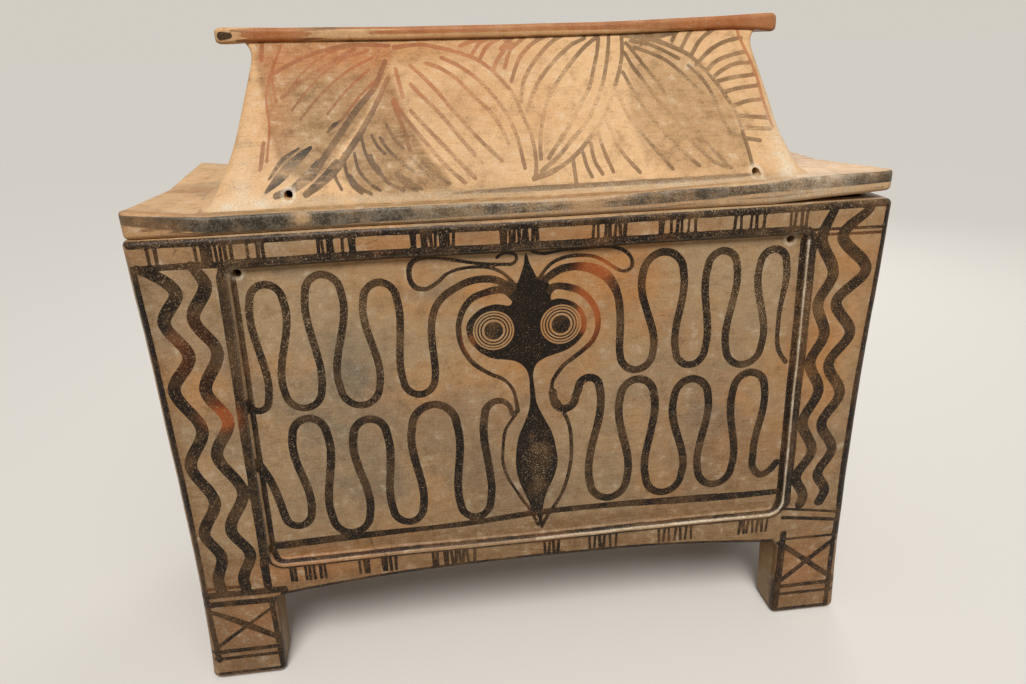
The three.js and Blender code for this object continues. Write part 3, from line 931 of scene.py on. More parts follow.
class Graph:
    """A node tree that grows from expressions."""

    def __init__(self, tree):
        self.tree = tree
        tree.nodes.clear()

    def feed(self, socket, value):
        if isinstance(value, Value):
            self.tree.links.new(value.socket, socket)
        elif isinstance(value, bpy.types.NodeSocket):
            self.tree.links.new(value, socket)
        else:
            socket.default_value = value

    def node(self, kind, settings=None, *ordered, **named):
        """Any node: its settings first, then the values or links of its sockets, by order or name."""
        node = self.tree.nodes.new(kind)
        for name, value in (settings or {}).items():
            setattr(node, name, value)
        for place, value in enumerate(ordered):
            self.feed(node.inputs[place], value)
        for name, value in named.items():
            self.feed(node.inputs[name.replace("_", " ")], value)
        return node.outputs

    def maths(self, operation, *values, clamp=False):
        made = self.node("ShaderNodeMath", {"operation": operation, "use_clamp": clamp}, *values)
        return Value(self, made[0])

    def attribute(self, name):
        made = self.node("ShaderNodeAttribute", {"attribute_type": "GEOMETRY", "attribute_name": name})
        return Value(self, made["Fac"])

    def seen_directly(self):
        """1 where the eye sees a thing directly or in a gloss, and 0 where it only lights."""
        path = self.node("ShaderNodeLightPath")
        direct = Value(self, path["Is Camera Ray"])
        glossy = Value(self, path["Is Glossy Ray"])
        through = Value(self, path["Is Transmission Ray"])
        return (direct + glossy + through).clamped()

    def mix(self, start, end, share):
        """A colour between two, each of them a tuple or a socket."""
        start, end = ((*tone, 1) if isinstance(tone, tuple) else tone for tone in (start, end))
        made = self.node("ShaderNodeMix", {"data_type": "RGBA"}, share)
        colours = [socket for socket in made[0].node.inputs if socket.type == "RGBA"]
        for socket, value in zip(colours, (start, end)):
            self.feed(socket, value)
        return next(socket for socket in made if socket.type == "RGBA")

    def place(self, stretch=(1, 1, 1), shift=(0, 0, 0)):
        """The clay's own coordinates in metres, stretched and shifted."""
        made = self.node("ShaderNodeTexCoord")
        mapped = self.node("ShaderNodeMapping", Vector=made["Object"], Scale=stretch, Location=shift)
        return mapped["Vector"]

    def noise(self, where, size, detail, roughness):
        """Noise around 0.5, with grains of about the given size in metres."""
        values = {"Scale": 1 / size, "Detail": detail, "Roughness": roughness}
        return Value(self, self.node("ShaderNodeTexNoise", Vector=where, **values)["Fac"])

    def cracks(self, where, size):
        """The distance from the nearest edge between cells of the given size."""
        settings = {"feature": "DISTANCE_TO_EDGE"}
        made = self.node("ShaderNodeTexVoronoi", settings, Vector=where, Scale=1 / size)
        return Value(self, made["Distance"])


# Brushwork: strokes are laid in millimetres, along a face and up it

KEPT = 14
STROKE_STEP = 3.5
RUN = 8
TAPER_STOPS = 5
TURN_ANGLES = np.linspace(0, math.pi, 7)
TURN_TALL_SHARE = 1.15


def curve(stops):
    """A smooth row of points through stops; each stop may carry more values, such as a width."""
    stops = np.array(stops, float)
    chord = np.maximum(np.hypot(*np.diff(stops[:, :2], axis=0).T), TINY)[:, None]
    slope = np.diff(stops, axis=0) / chord
    tangent = np.vstack([slope[:1], slope[-1:]])
    if len(stops) > 2:
        before, after = chord[:-1], chord[1:]
        middle = (slope[:-1] * after + slope[1:] * before) / (before + after)
        tangent = np.vstack([slope[:1], middle, slope[-1:]])
    rows = []
    for place, length in enumerate(chord[:, 0]):
        count = max(1, int(math.ceil(length / STROKE_STEP)))
        t = np.arange(count)[:, None] / count
        start, end = stops[place], stops[place + 1]
        pull_in, pull_out = length * tangent[place], length * tangent[place + 1]
        rows.append(
            start * (2 * t**3 - 3 * t**2 + 1)
            + pull_in * (t**3 - 2 * t**2 + t)
            + end * (3 * t**2 - 2 * t**3)
            + pull_out * (t**3 - t**2)
        )
    return np.vstack([*rows, stops[-1:]])


def loops(turns, first_up):
    """Stops of a hairpin line through its turns: way in, way out and crest of each."""
    stops = []
    side = 1 if first_up else -1
    for way_in, way_out, crest in turns:
        middle, radius = (way_in + way_out) / 2, (way_out - way_in) / 2
        tall = abs(radius) * TURN_TALL_SHARE
        for angle in TURN_ANGLES:
            x = middle - radius * math.cos(angle)
            stops.append((x, crest - side * tall * (1 - math.sin(angle))))
        side = -side
    return stops


def tapered(stops, start, end):
    """The stops with a width each, which grows from start to end over the first of them."""
    shares = limit(np.arange(len(stops)) / TAPER_STOPS)
    return [(*stop, float(mix(start, end, share))) for stop, share in zip(stops, shares)]


class Brush:
    """The paint that reaches each place of a face: how deep in a stroke it lies, and how red it fired."""

    def __init__(self, places):
        self.places = places
        self.slip = np.full(len(places), -float(KEPT))
        self.rust = np.zeros(len(places))

    def lay(self, picked, depth, rust):
        """Paint for the picked places, where it is deeper in its stroke than what they have."""
        deeper = depth > self.slip[picked]
        chosen = picked[deeper]
        self.slip[chosen] = depth[deeper]
        self.rust[chosen] = rust

    def near(self, low, high, among=None):
        """Which places lie in a box or close to it."""
        places = self.places if among is None else self.places[among]
        inside = ((places > low - KEPT) & (places < high + KEPT)).all(axis=1)
        found = np.flatnonzero(inside)
        return found if among is None else among[found]

    def line(self, stops, width=0.0, rust=0.0):
        """A stroke through stops, of one width or with a width as each stop's third value."""
        rows = [(*stop[:2], stop[2] if len(stop) > 2 else width) for stop in stops]
        path = curve(rows)
        reach = path[:, 2].max() / 2
        around = self.near(path[:, :2].min(0) - reach, path[:, :2].max(0) + reach)
        if not len(around):
            return
        for start in range(0, len(path) - 1, RUN):
            run = path[start : start + RUN + 1]
            picked = self.near(run[:, :2].min(0) - reach, run[:, :2].max(0) + reach, around)
            if len(picked):
                self.lay(picked, self.inside_run(self.places[picked], run), rust)

    def inside_run(self, places, run):
        """How deep places lie inside a short run of a stroke."""
        depth = np.full(len(places), -np.inf)
        for here, there in zip(run[:-1], run[1:]):
            along, away = from_segment(places, here[:2], there[:2])
            depth = np.maximum(depth, mix(here[2], there[2], along) / 2 - away)
        return depth

    def fill(self, outline, rust=0.0, cut=None):
        """A filled shape; cut lists round places left bare in it, as centre and radius."""
        path = curve([*outline, outline[0]])
        picked = self.near(path.min(0), path.max(0))
        if not len(picked):
            return
        places = self.places[picked]
        away = np.full(len(places), np.inf)
        inside = np.zeros(len(places), bool)
        for here, there in zip(path[:-1], path[1:]):
            away = np.minimum(away, from_segment(places, here, there)[1])
            across, rise = there - here
            spans = (here[1] > places[:, 1]) != (there[1] > places[:, 1])
            rise = rise if abs(rise) > TINY else TINY
            inside ^= spans & (places[:, 0] < here[0] + (places[:, 1] - here[1]) / rise * across)
        depth = np.where(inside, away, -away)
        for centre, radius in cut or []:
            depth = np.minimum(depth, np.hypot(*(places - centre).T) - radius)
        self.lay(picked, depth, rust)


def soft_spots(places, spots, most=1):
    """Soft-edged spots, each with its place, its two reaches and its strength, added up."""
    total = np.zeros(len(places))
    for x, z, reach_x, reach_z, strength in spots:
        away = ((places[:, 0] - x) / reach_x) ** 2 + ((places[:, 1] - z) / reach_z) ** 2
        total += strength * np.exp(-away)
    return limit(total, 0, most)


# The octopus on the front panel: stops in millimetres, some with a width of their own

EYES = np.array([(-53.5, 575.7), (46.3, 578.2)])
EYE_REACH = 30.3
HEAD = [
    (-4, 691), (-1.5, 685), (2, 673), (7, 663), (12, 652), (28, 643), (32, 626), (32, 617),
    (40.6, 618.3), (53, 616.3), (65.3, 611), (76.5, 601), (82.7, 588.6), (84.7, 576), (81.4, 561.4),
    (74, 551.5), (65.3, 543.6), (53, 536.6), (38, 532), (23.3, 527.2), (14.6, 523), (8.4, 516.8),
    (5.4, 509.4), (5.4, 480), (9, 452), (20.3, 425), (31.4, 400), (36.9, 375), (39.4, 350),
    (34.4, 325), (24.5, 300), (16, 275), (13.5, 250), (10.5, 224), (5, 250), (-3, 262), (-7, 275),
    (-16.3, 300), (-23.8, 325), (-26.7, 350), (-25.5, 375), (-20.8, 400), (-10.6, 425), (-3, 450),
    (-2, 480), (-3.5, 502), (-6.5, 509.4), (-14, 519.3), (-24, 525.5), (-34, 528), (-51, 530.5),
    (-63, 535), (-78, 546.5), (-89, 561), (-93, 576), (-92, 588.6), (-83, 601), (-68, 612),
    (-51, 616), (-26, 614.6), (-24, 625), (-19, 641), (-16, 647), (-11, 660), (-7, 673), (-5, 688),
]
LEFT_FLANK = [
    (-25, 437.6), (-33.7, 425), (-41, 413), (-44.8, 395.5), (-46.5, 378), (-47.3, 358),
    (-44.8, 343.6), (-38.6, 324), (-28.7, 304), (-18.8, 284), (-8.9, 267), (-2, 252), (6, 232),
]
UPPER_LEFT_CURL = [
    (-17.6, 640.6, 5), (-27.5, 652.5), (-40, 663.7), (-57.5, 671), (-80, 673), (-102.5, 670.7),
    (-117.5, 665), (-132.5, 652.5, 6), (-150, 645, 7), (-160, 647.5, 8), (-167.5, 656, 8),
    (-169.5, 667.5, 8), (-167.5, 680, 8), (-160, 688, 7), (-147.5, 691, 6), (-130, 689.5),
    (-105, 684.5), (-80, 679.5), (-55, 676), (-35, 674.5), (-22.5, 675), (-17.5, 680),
    (-18.7, 687.5), (-25, 690.5), (-37.5, 690.5), (-45, 685),
]
UPPER_RIGHT_CURL = [
    (14.6, 649), (20.8, 659), (30.7, 670), (43, 677), (60.4, 680.7), (77.7, 680.7), (95, 677.7),
    (110, 670), (122, 661.6), (132, 655.4), (142, 653), (149.5, 656.7), (152, 665), (148.3, 675),
    (137, 685), (122, 690.6), (97.5, 692), (72.8, 691), (48, 690.6), (33, 688), (20.8, 687),
    (8.4, 690), (3.5, 692.6),
]
LEFT_ARM = [
    (-8, 622, 18), (-20, 636, 13), (-26, 641, 11), (-31, 643), (-46, 651.7), (-68, 654.7),
    (-88, 651.7), (-105.4, 644), (-122.8, 633), (-135, 618), (-141, 601), (-143.8, 582), (-144, 560),
    (-143, 540),
]
LEFT_ARM_TURNS = [
    (-143, -190.5, 483.5), (-189, -236.5, 659), (-224, -282, 473.5), (-265, -315, 676),
    (-307.5, -360.5, 476), (-345, -391, 667.5), (-384, -415, 477.5),
]
LEFT_EYE_ARM = [
    (-10, 616, 20), (-24, 629, 15), (-33.7, 635, 11), (-51, 637, 11), (-63.4, 634.4, 10.5),
    (-80.7, 628, 10), (-93, 616, 9.5), (-100.5, 601, 9), (-104.2, 586, 8.7), (-104.2, 571, 8.4),
    (-101.7, 556, 8), (-95.5, 541.6, 7.6), (-85.6, 526.7, 7.2), (-73.3, 515.6, 7), (-58.4, 505.7, 6.6),
    (-43.6, 498.3, 6), (-32.4, 487, 5.6), (-26.2, 474.8, 5.4), (-23.8, 462.4, 6), (-21, 443, 6.6),
]
LOW_LEFT_START = [(-21, 446, 5)]
LOW_LEFT_WIDTHS = (6, 12.5)
LOW_LEFT_TURNS = [
    (-30, -72.5, 463), (-69, -117, 260), (-114.5, -184, 465), (-175, -222.5, 262),
    (-221, -271, 450), (-258.5, -317, 253), (-308, -359, 459), (-347, -388, 275.5),
]
LOW_LEFT_END = [(-391, 317), (-402, 365), (-410, 385), (-416, 397.5)]
RIGHT_ARM = [
    (8, 624, 20), (17, 638, 14), (23.3, 647, 11), (33, 655.4), (48, 663), (65.3, 665, 12),
    (82.7, 663, 14), (100, 657, 16), (114, 647, 16), (124, 633.6, 14), (131, 617, 12), (134, 601), (136, 560),
]
RIGHT_ARM_TURNS = [
    (136, 188, 495), (167.5, 230, 678), (222.5, 270, 496), (265.5, 311, 674), (302, 359.5, 490),
    (346, 387.5, 672),
]
RIGHT_ARM_END = [(383, 560, 7.5), (384, 530, 7.5), (386, 517, 7.5), (392.5, 502.5, 7.5), (402, 490, 7.5)]
RIGHT_EYE_ARM = [
    (12, 618, 24), (26, 631, 16), (38, 637, 11), (55.4, 635, 11), (70.3, 629.5, 10.5), (85, 618, 10),
    (95, 604.7, 9.5), (100.5, 591, 9), (102, 578.7, 8.7), (100.5, 564, 8.4), (93.8, 549, 8),
    (80.2, 535.4, 7.6), (65.3, 524, 7.2), (50.5, 513, 6.8), (40.6, 500.7, 6.4), (33, 487), (32, 474.8),
    (35.6, 462), (43, 450), (48, 437.6), (55.4, 420), (59.9, 400.5), (61.6, 378), (61, 353.5),
    (58, 334), (54, 314), (48, 294), (38, 274), (28, 259), (18, 242), (12, 228, 5),
]
LOW_RIGHT_START = [(33, 470)]
LOW_RIGHT_TURNS = [
    (34, 68, 440), (72, 105.5, 489), (91, 152, 271), (137.5, 191.5, 479), (182, 243.5, 271),
    (223, 279.5, 472), (269.5, 328, 277), (319.5, 372, 476),
]
LOW_RIGHT_END = [(363, 330), (366, 300), (380, 287), (394, 294), (405, 308)]
GROUND = [
    (-416, 243, 14), (-300, 245, 13), (-200, 246, 10), (-100, 249, 10), (0, 256.5, 11),
    (100, 257, 10.5), (200, 254, 13), (300, 251, 14), (410, 251, 10),
]
LOW_LEFT_LOOPS = tapered(loops(LOW_LEFT_TURNS, True), *LOW_LEFT_WIDTHS)
OCTOPUS_STROKES = [
    (GROUND, 12),
    (UPPER_LEFT_CURL, 5),
    (UPPER_RIGHT_CURL, 5.5),
    (LEFT_ARM + loops(LEFT_ARM_TURNS, False), 11),
    (LOW_LEFT_START + LOW_LEFT_LOOPS + LOW_LEFT_END, 12.5),
    (RIGHT_ARM + loops(RIGHT_ARM_TURNS, False) + RIGHT_ARM_END, 11.8),
    (LOW_RIGHT_START + loops(LOW_RIGHT_TURNS, False) + LOW_RIGHT_END, 12.8),
    (LEFT_EYE_ARM, 9),
    (RIGHT_EYE_ARM, 6),
    (LEFT_FLANK, 5),
]
HEAD_RUST = -0.8


def paint_strokes(brush, strokes):
    """Strokes in their order: the stops of each, its width, and how red it fired where it did."""
    for stroke in strokes:
        brush.line(*stroke)


def paint_octopus(brush):
    paint_strokes(brush, OCTOPUS_STROKES)
    brush.fill(HEAD, HEAD_RUST, cut=[(eye, EYE_REACH) for eye in EYES])


# Bars, bands and waves on the chest's frame

RAIL_BARS = [
    -507, -497, -447, -439, -434, -428, -421, -415, -409, -401, -380, -367, -360, -287, -281.6,
    -274, -269, -255, -245, -240, -162, -158, -148, -143, -136, -130, -123, -117.6, -112, -105,
    -39, -33.6, -27, -21, -14, -8, -3, 4.5, 11, 91, 98, 109, 115, 123, 130, 137, 187.6, 192, 204,
    213, 219.5, 229.6, 239.6, 298, 307, 322, 330, 341.5, 382, 389, 398.7, 406,
]
SILL_BARS = [
    -390, -383.5, -367, -361, -354, -344, -337, -282.7, -274, -268.8, -246, -240.8, -234, -225.6,
    -166, -159.6, -147, -142.8, -136, -130, -123, -117.6, -111, -99.7, 15, 22.4, 29.7, 37.5, 89.6,
    98, 106.4, 113.7, 124, 134, 207, 215.6, 224, 235, 243.6, 253, 262, 347, 354, 361, 369.5, 378,
    386, 394.7,
]
FRONT_WAVES = [
    [
        (-524, 701, 12), (-505, 692, 16), (-481.5, 668), (-503.5, 625), (-480, 573), (-507.5, 526),
        (-480.5, 457), (-506, 402), (-482.5, 337), (-506.5, 282), (-489, 240), (-500.5, 196), (-499, 178),
    ],
    [
        (-455, 702, 13), (-442, 678), (-465, 628), (-441.5, 578), (-466, 520), (-443, 468),
        (-466.5, 418), (-440, 351), (-467, 285), (-446, 240), (-463, 192), (-462, 180),
    ],
    [
        (447, 728, 13), (433, 690), (457, 630), (438.5, 585), (455, 535), (437.5, 490), (458, 440),
        (437.5, 385), (459, 330), (437.5, 280), (453.5, 240), (450, 228),
    ],
    [
        (502, 726, 14), (465.5, 691), (508, 634), (467.5, 586), (497, 534), (468.5, 485), (495, 430),
        (470, 380), (494, 330), (475, 283), (491, 250), (484, 230),
    ],
]
WAVE_WIDTH = 17.5
BAR_WIDTH = 4.7
BAR_SWELL = 0.6
BAR_SLANT = 0.7
BAR_SWELL_TURN = 1.7
BAR_SLANT_TURN = 3.1
RAIL_BAR_ENDS = (729, 704)
SILL_BAR_ENDS = (206, 181)


def paint_bars(brush, bars, ends):
    for place, x in enumerate(bars):
        lean = BAR_SLANT * math.sin(BAR_SLANT_TURN * place)
        width = BAR_WIDTH + BAR_SWELL * math.sin(BAR_SWELL_TURN * place)
        brush.line([(x + lean, ends[0]), (x - lean, ends[1])], width)


ARCH_STOPS = 17
ARCH_LINE_RISE = 5


def arch_stops(wall):
    """Stops of a line that follows the arch under a sill."""
    reach = float(wall.opening(BODY_FOOT)) - LEG_FILLET
    places = np.linspace(-reach, reach, ARCH_STOPS)
    return [(x, float(arch_underside(wall, x)) + ARCH_LINE_RISE) for x in places]


# Dark bands of slip outside and inside the moulding's crest, each at the left, the right, the head and the
# foot; under the rail's step and in the crease inside the crest they also paint the shade that falls there
MOULDING_BANDS = [
    ((-13, 1.5), (-12.5, -0.3), (-10.5, 4), (-6.5, -3)),
    ((4, 11), (1.3, 8.5), (4, 4.4), (1.5, 5)),
]
MOULDING_RUST = 0.05
MOULDING_REACH = 28
HEAD_TURN_DROP = 16
HEAD_TURN = 12
FOOT_TURN_RISE = 20
FOOT_TURN = 16


def paint_moulding(brush, wall):
    x, z = brush.places.T
    inside = opening_distance(wall, x, z)
    head = ease((z - RAIL_FOOT + HEAD_TURN_DROP) / HEAD_TURN)
    foot = ease((SILL_HEAD + FOOT_TURN_RISE - z) / FOOT_TURN)
    among = np.flatnonzero(np.abs(inside) < MOULDING_REACH)
    for left, right, top, bottom in MOULDING_BANDS:
        ends = []
        for end in (0, 1):
            value = np.where(x < 0, left[end], right[end])
            ends.append(mix(mix(value, top[end], head), bottom[end], foot))
        depth = np.minimum(inside - ends[0], ends[1] - inside)
        picked = among[depth[among] > -KEPT]
        brush.lay(picked, depth[picked], MOULDING_RUST)


FRONT_RAIL_STROKES = [
    ([(-530, 733), (-300, 732), (0, 731), (300, 732), (534, 734)], 10),
    ([(-527, 701), (-470, 702), (-412, 701)], 9),
]
FRONT_ARCH_WIDTH = 8.5
LEFT_FOOT_OFFSET = 8
LEFT_FOOT_HEIGHTS = np.linspace(178, 225, 6)
LEFT_FOOT_STOPS = [(-float(opening_reach(z)) - LEFT_FOOT_OFFSET, z) for z in LEFT_FOOT_HEIGHTS]
LEFT_FOOT_STROKES = [(LEFT_FOOT_STOPS, 13, 0.1)]
POST_STROKES = [
    ([(-530, 700, 10), (-526, 500, 12), (-524, 300, 11), (-525, 150, 8)], 8, -0.1),
    ([(531, 735, 9), (528, 600, 13), (523, 400, 15), (522, 250, 14), (525, 165, 12)], 9, -0.2),
    ([(412, 700), (525, 699)], 4.5, 0.15),
    ([(412, 692), (525, 691)], 4.5, 0.25),
    ([(421, 690), (421, 240)], 1.8, 0.6),
    ([(409, 224), (516.5, 206.5)], 5),
    ([(422, 204.6), (518.5, 191)], 7),
]
LEFT_LEG_STROKES = [
    ([(-535, 169.5), (-405, 168)], 12),
    ([(-535, 152), (-405, 150)], 11),
    ([(-533, 182), (-470, 181)], 6, 0.3),
    ([(-526, 145), (-525, 40)], 9),
    ([(-427, 150), (-427, 14)], 8),
    ([(-522.7, 139, 7), (-480, 112, 12), (-422, 72, 10)], 10),
    ([(-522.7, 68, 7), (-480, 98, 6), (-425, 137, 5)], 5.5),
    ([(-530, 57), (-422, 57)], 8),
    ([(-530, 43), (-424, 43)], 6.5),
    ([(-528, 12), (-424, 12)], 6),
]
RIGHT_LEG_STROKES = [
    ([(427, 172), (428, 110), (428, 14)], 11),
    ([(520, 190), (521, 100), (523, 16)], 9),
    ([(426, 10), (524, 10)], 7),
    ([(430, 160), (524, 160)], 5, 0.1),
    ([(422, 152.7), (526, 70)], 10),
    ([(522, 150.8), (424, 66)], 9.5),
    ([(424, 60), (532, 61)], 8),
    ([(424, 43.5), (532, 43.5)], 6.5),
]


def front_brush(places):
    """The octopus, and bands, bars and waves round it."""
    brush = Brush(places)
    paint_octopus(brush)
    paint_strokes(brush, FRONT_RAIL_STROKES)
    paint_bars(brush, RAIL_BARS, RAIL_BAR_ENDS)
    paint_bars(brush, SILL_BARS, SILL_BAR_ENDS)
    brush.line(arch_stops(WALLS["front"]), FRONT_ARCH_WIDTH)
    paint_strokes(brush, LEFT_FOOT_STROKES)
    paint_moulding(brush, WALLS["front"])
    for wave in FRONT_WAVES:
        brush.line(wave, WAVE_WIDTH)
    paint_strokes(brush, POST_STROKES + LEFT_LEG_STROKES + RIGHT_LEG_STROKES)
    return brush


# The back and the ends carry the same bands, bars and waves in a plainer order

BAR_GROUP = 5
BAR_PITCH = 8


def bar_groups(reach, groups):
    """Places of short bars in even groups."""
    centres = np.linspace(-reach, reach, groups)
    middle = (BAR_GROUP - 1) / 2
    return [centre + BAR_PITCH * (bar - middle) for centre in centres for bar in range(BAR_GROUP)]


def wave_stops(x, low, high, swing, count):
    """Stops of a wave that runs up at x, a swing to each side."""
    heights = np.linspace(high, low, count)
    return [(x + swing * (1 if place % 2 else -1), z) for place, z in enumerate(heights)]


# The crossed boxes on the legs: each end of a stroke as the leg's edge, the way from it and the height
INNER, OUTER = 0, 1
LEG_BOX = [
    ((INNER, 0, 169), (OUTER, 0, 169), 9),
    ((INNER, 0, 151), (OUTER, 0, 151), 9),
    ((INNER, 0, 57), (OUTER, 0, 57), 6),
    ((INNER, 0, 42), (OUTER, 0, 42), 6),
    ((INNER, 3, 145), (INNER, 5, 58), 5),
    ((OUTER, -6, 145), (OUTER, -5, 58), 5),
    ((INNER, 4, 142), (OUTER, -6, 64), 7),
    ((OUTER, -6, 142), (INNER, 6, 64), 6),
]


def paint_leg_box(brush, side, edges):
    for start, end, width in LEG_BOX:
        brush.line([(side * (edges[edge] + way), z) for edge, way, z in (start, end)], width)


BACK = {
    "strokes": [
        ([(-530, 734), (0, 733), (530, 734)], 8),
        ([(-414, 246), (-200, 244), (0, 247), (200, 245), (414, 247)], 11),
    ],
    "arch_width": 7,
    "rail_groups": (360, 8),
    "sill_groups": (350, 7),
    "rows": [(600, 70), (455, 62), (315, 62)],
    "post_waves": [(500, 185, 700, 13, 11), (454, 185, 700, 12, 11)],
    "post_wave_width": WAVE_WIDTH,
    "leg": (424, 532),
}
ENDS = {
    "strokes": [
        ([(-222, 734), (222, 734)], 8),
        ([(-215, 702), (-150, 702)], 8),
        ([(150, 702), (215, 702)], 8),
        ([(-158, 246), (0, 244), (158, 247)], 11),
        *((wave_stops(x, 268, 682, 17, 8), 13) for x in (-118, -59, 0, 59, 118)),
    ],
    "arch_width": 6,
    "rail_groups": (110, 3),
    "sill_groups": (100, 3),
    "rows": [],
    "post_waves": [(196, 185, 698, 9, 11)],
    "post_wave_width": 12,
    "leg": (166, 224),
}
ROW_REACH = 385
ROW_TURNS = 17
ROW_WIDTH = 11.5
TURN_GAP = 4
CREST_DRIFT = 4
CREST_DRIFT_TURN = 2.3


def row_stops(middle, swing, first_up):
    """Stops of a line that loops along the back, up and down by turns."""
    edges = np.linspace(-ROW_REACH, ROW_REACH, ROW_TURNS + 1)
    turns = []
    for place in range(ROW_TURNS):
        crest = middle + (swing if (place % 2 == 0) == first_up else -swing)
        crest += CREST_DRIFT * math.sin(CREST_DRIFT_TURN * place)
        turns.append((edges[place] + TURN_GAP, edges[place + 1] - TURN_GAP, crest))
    return loops(turns, first_up)


def plain_brush(wall, places):
    plan = BACK if wall.side == "back" else ENDS
    brush = Brush(places)
    paint_strokes(brush, plan["strokes"])
    brush.line(arch_stops(wall), plan["arch_width"])
    paint_moulding(brush, wall)
    paint_bars(brush, bar_groups(*plan["rail_groups"]), RAIL_BAR_ENDS)
    paint_bars(brush, bar_groups(*plan["sill_groups"]), SILL_BAR_ENDS)
    for row, (middle, swing) in enumerate(plan["rows"]):
        brush.line(row_stops(middle, swing, row % 2 == 0), ROW_WIDTH)
    for side in (-1, 1):
        for x, *wave in plan["post_waves"]:
            brush.line(wave_stops(side * x, *wave), plan["post_wave_width"])
        paint_leg_box(brush, side, plan["leg"])
    return brush


# Soft spots, each as its place, its two reaches and its strength: where the slip fired red or wore off, where
# the clay is warm or grey, where painted shade darkens it, and where thin washes of slip lie on it
NO_SPOTS = []

FRONT_RUST = [
    (100, 660, 24, 15, 1.6), (90, 606, 22, 48, 1.4), (-450, 476, 22, 19, 1.6), (46, 578, 15, 15, -0.5),
    (-53, 576, 15, 15, -0.8), (-86, 562, 13, 22, 1.3), (7, 345, 26, 75, 0.95), (80, 583, 15, 30, 1.4),
    (-60, 600, 60, 40, 0.25), (-462, 600, 30, 60, 0.25), (-500, 590, 20, 30, 0.3),
]
FRONT_GLOW = [
    (110, 640, 70, 50, 1.0), (0, 560, 200, 130, 0.8), (330, 420, 160, 120, 0.4), (-130, 640, 90, 60, 0.6),
    (-470, 500, 50, 160, 0.4), (470, 560, 60, 190, 0.55), (-60, 480, 120, 50, 0.4), (0, 716, 500, 14, 0.4),
    (-460, 110, 60, 60, 0.5), (470, 100, 50, 60, 0.5), (-360, 205, 90, 25, 0.7),
]
# Grey on the front: fired grey patches, and painted shade that darkens the lower panel and the feet
FRONT_GREY_AND_SHADE = [
    (-230, 330, 160, 110, 0.9), (-330, 560, 130, 120, 0.45), (240, 300, 160, 90, 0.45),
    (-470, 260, 60, 160, 0.25), (0, 300, 140, 80, 0.5), (-470, 60, 70, 90, 0.8), (475, 60, 60, 90, 0.5),
    (300, 420, 90, 70, 0.5), (-150, 640, 60, 30, 0.5),
]
FRONT_WEAR = [
    (-340, 600, 80, 90, 0.3), (430, 540, 60, 120, 0.3), (7, 345, 28, 75, 0.45), (330, 600, 80, 90, 0.4),
    (-200, 600, 120, 60, 0.3), (0, 741, 700, 5, 1.0),
]
SIDE_ASH = [(-90, 380, 110, 120, 0.6), (120, 560, 90, 110, 0.4), (60, 120, 60, 60, 0.4)]
SIDE_GLOW = [(40, 420, 120, 150, 0.5), (-150, 620, 80, 80, 0.5)]
WIDE_ASH = [(-260, 380, 170, 140, 0.7), (240, 480, 190, 120, 0.5), (20, 250, 160, 60, 0.5)]
WIDE_GLOW = [(0, 520, 240, 120, 0.5), (-420, 600, 90, 120, 0.5), (430, 330, 90, 120, 0.4)]
LEFT_RUST = [(60, 480, 40, 50, 0.8)]
RIGHT_RUST = [(-70, 560, 40, 60, 0.8)]
WIDE_RUST = [(-150, 600, 60, 40, 0.7), (320, 330, 50, 60, 0.7), (470, 560, 40, 60, 0.7)]
SPOTS = {
    "front": (FRONT_RUST, FRONT_GLOW, FRONT_GREY_AND_SHADE, FRONT_WEAR),
    "back": (WIDE_RUST, WIDE_GLOW, WIDE_ASH, SIDE_ASH),
    "left": (LEFT_RUST, SIDE_GLOW, SIDE_ASH, SIDE_GLOW),
    "right": (RIGHT_RUST, SIDE_GLOW, SIDE_ASH, SIDE_GLOW),
}

# Thin washes of slip on the front and dark bands down its corners; the spots at the feet are painted shade
FRONT_WASH_AND_SHADE = [
    (0, 229, 460, 11, 0.9), (0, 190, 500, 20, 0.45), (-60, 330, 60, 60, 0.35), (250, 520, 90, 60, 0.35),
    (420, 560, 30, 160, 0.5), (-420, 560, 30, 160, 0.4), (330, 330, 120, 80, 0.4), (-130, 430, 90, 50, 0.3),
    (60, 470, 50, 60, 0.35), (0, 716, 560, 14, 0.6), (530, 450, 18, 260, 0.8), (-528, 470, 20, 330, 1.0),
    (-476, 90, 90, 80, 0.6), (476, 90, 90, 80, 0.4), (-380, 205, 70, 40, 0.5),
]

# What a point of the mesh knows of its paint, and how it fades where the clay turns away; edge holds painted
# highlights as well as chalky wear, and wash on the chest also holds painted shade
FIELDS = ("slip", "rust", "glow", "ash", "wear", "eye", "edge", "wash")
FOOT_SHADE_FROM = 470
PAINTED_DEPTH = 20
WRAP_DEPTH = 13
WRAP_LOSS = 1.6
# How the painted highlight lies along the moulding's crest: its reach and width, and its strength at the
# left, the right and the head
CREST_REACH = -0.4
CREST_WIDTH = 1.2
MOST_RUST = 2
CREST_LEFT_SHARE = 0.1
CREST_RIGHT_SHARE = 1.0
CREST_TOP_SHARE = 0.15
HOLE_RING = 8.5
HOLE_RING_WIDTH = 2.4
HOLE_RING_SHARE = 0.7


def hole_rim_highlight(places, holes):
    """A whitish painted highlight in a ring round each hole, where its rim catches the light."""
    ring = np.zeros(len(places))
    for hole in holes:
        away = np.hypot(*(places - hole).T)
        ring += HOLE_RING_SHARE * np.exp(-(((away - HOLE_RING) / HOLE_RING_WIDTH) ** 2))
    return ring


def blank_fields(points):
    fields = {name: np.zeros(len(points)) for name in FIELDS}
    fields["slip"] -= KEPT
    return fields


def paint_face(fields, picked, brush, spots, places):
    """Puts a brush's paint and a face's soft spots into the fields of the picked points."""
    rust, glow, ash, wear = spots
    fields["slip"][picked] = brush.slip
    fields["rust"][picked] = limit(brush.rust + soft_spots(places, rust, MOST_RUST), -1, 1)
    fields["glow"][picked] = soft_spots(places, glow)
    fields["ash"][picked] = soft_spots(places, ash)
    fields["wear"][picked] = soft_spots(places, wear)


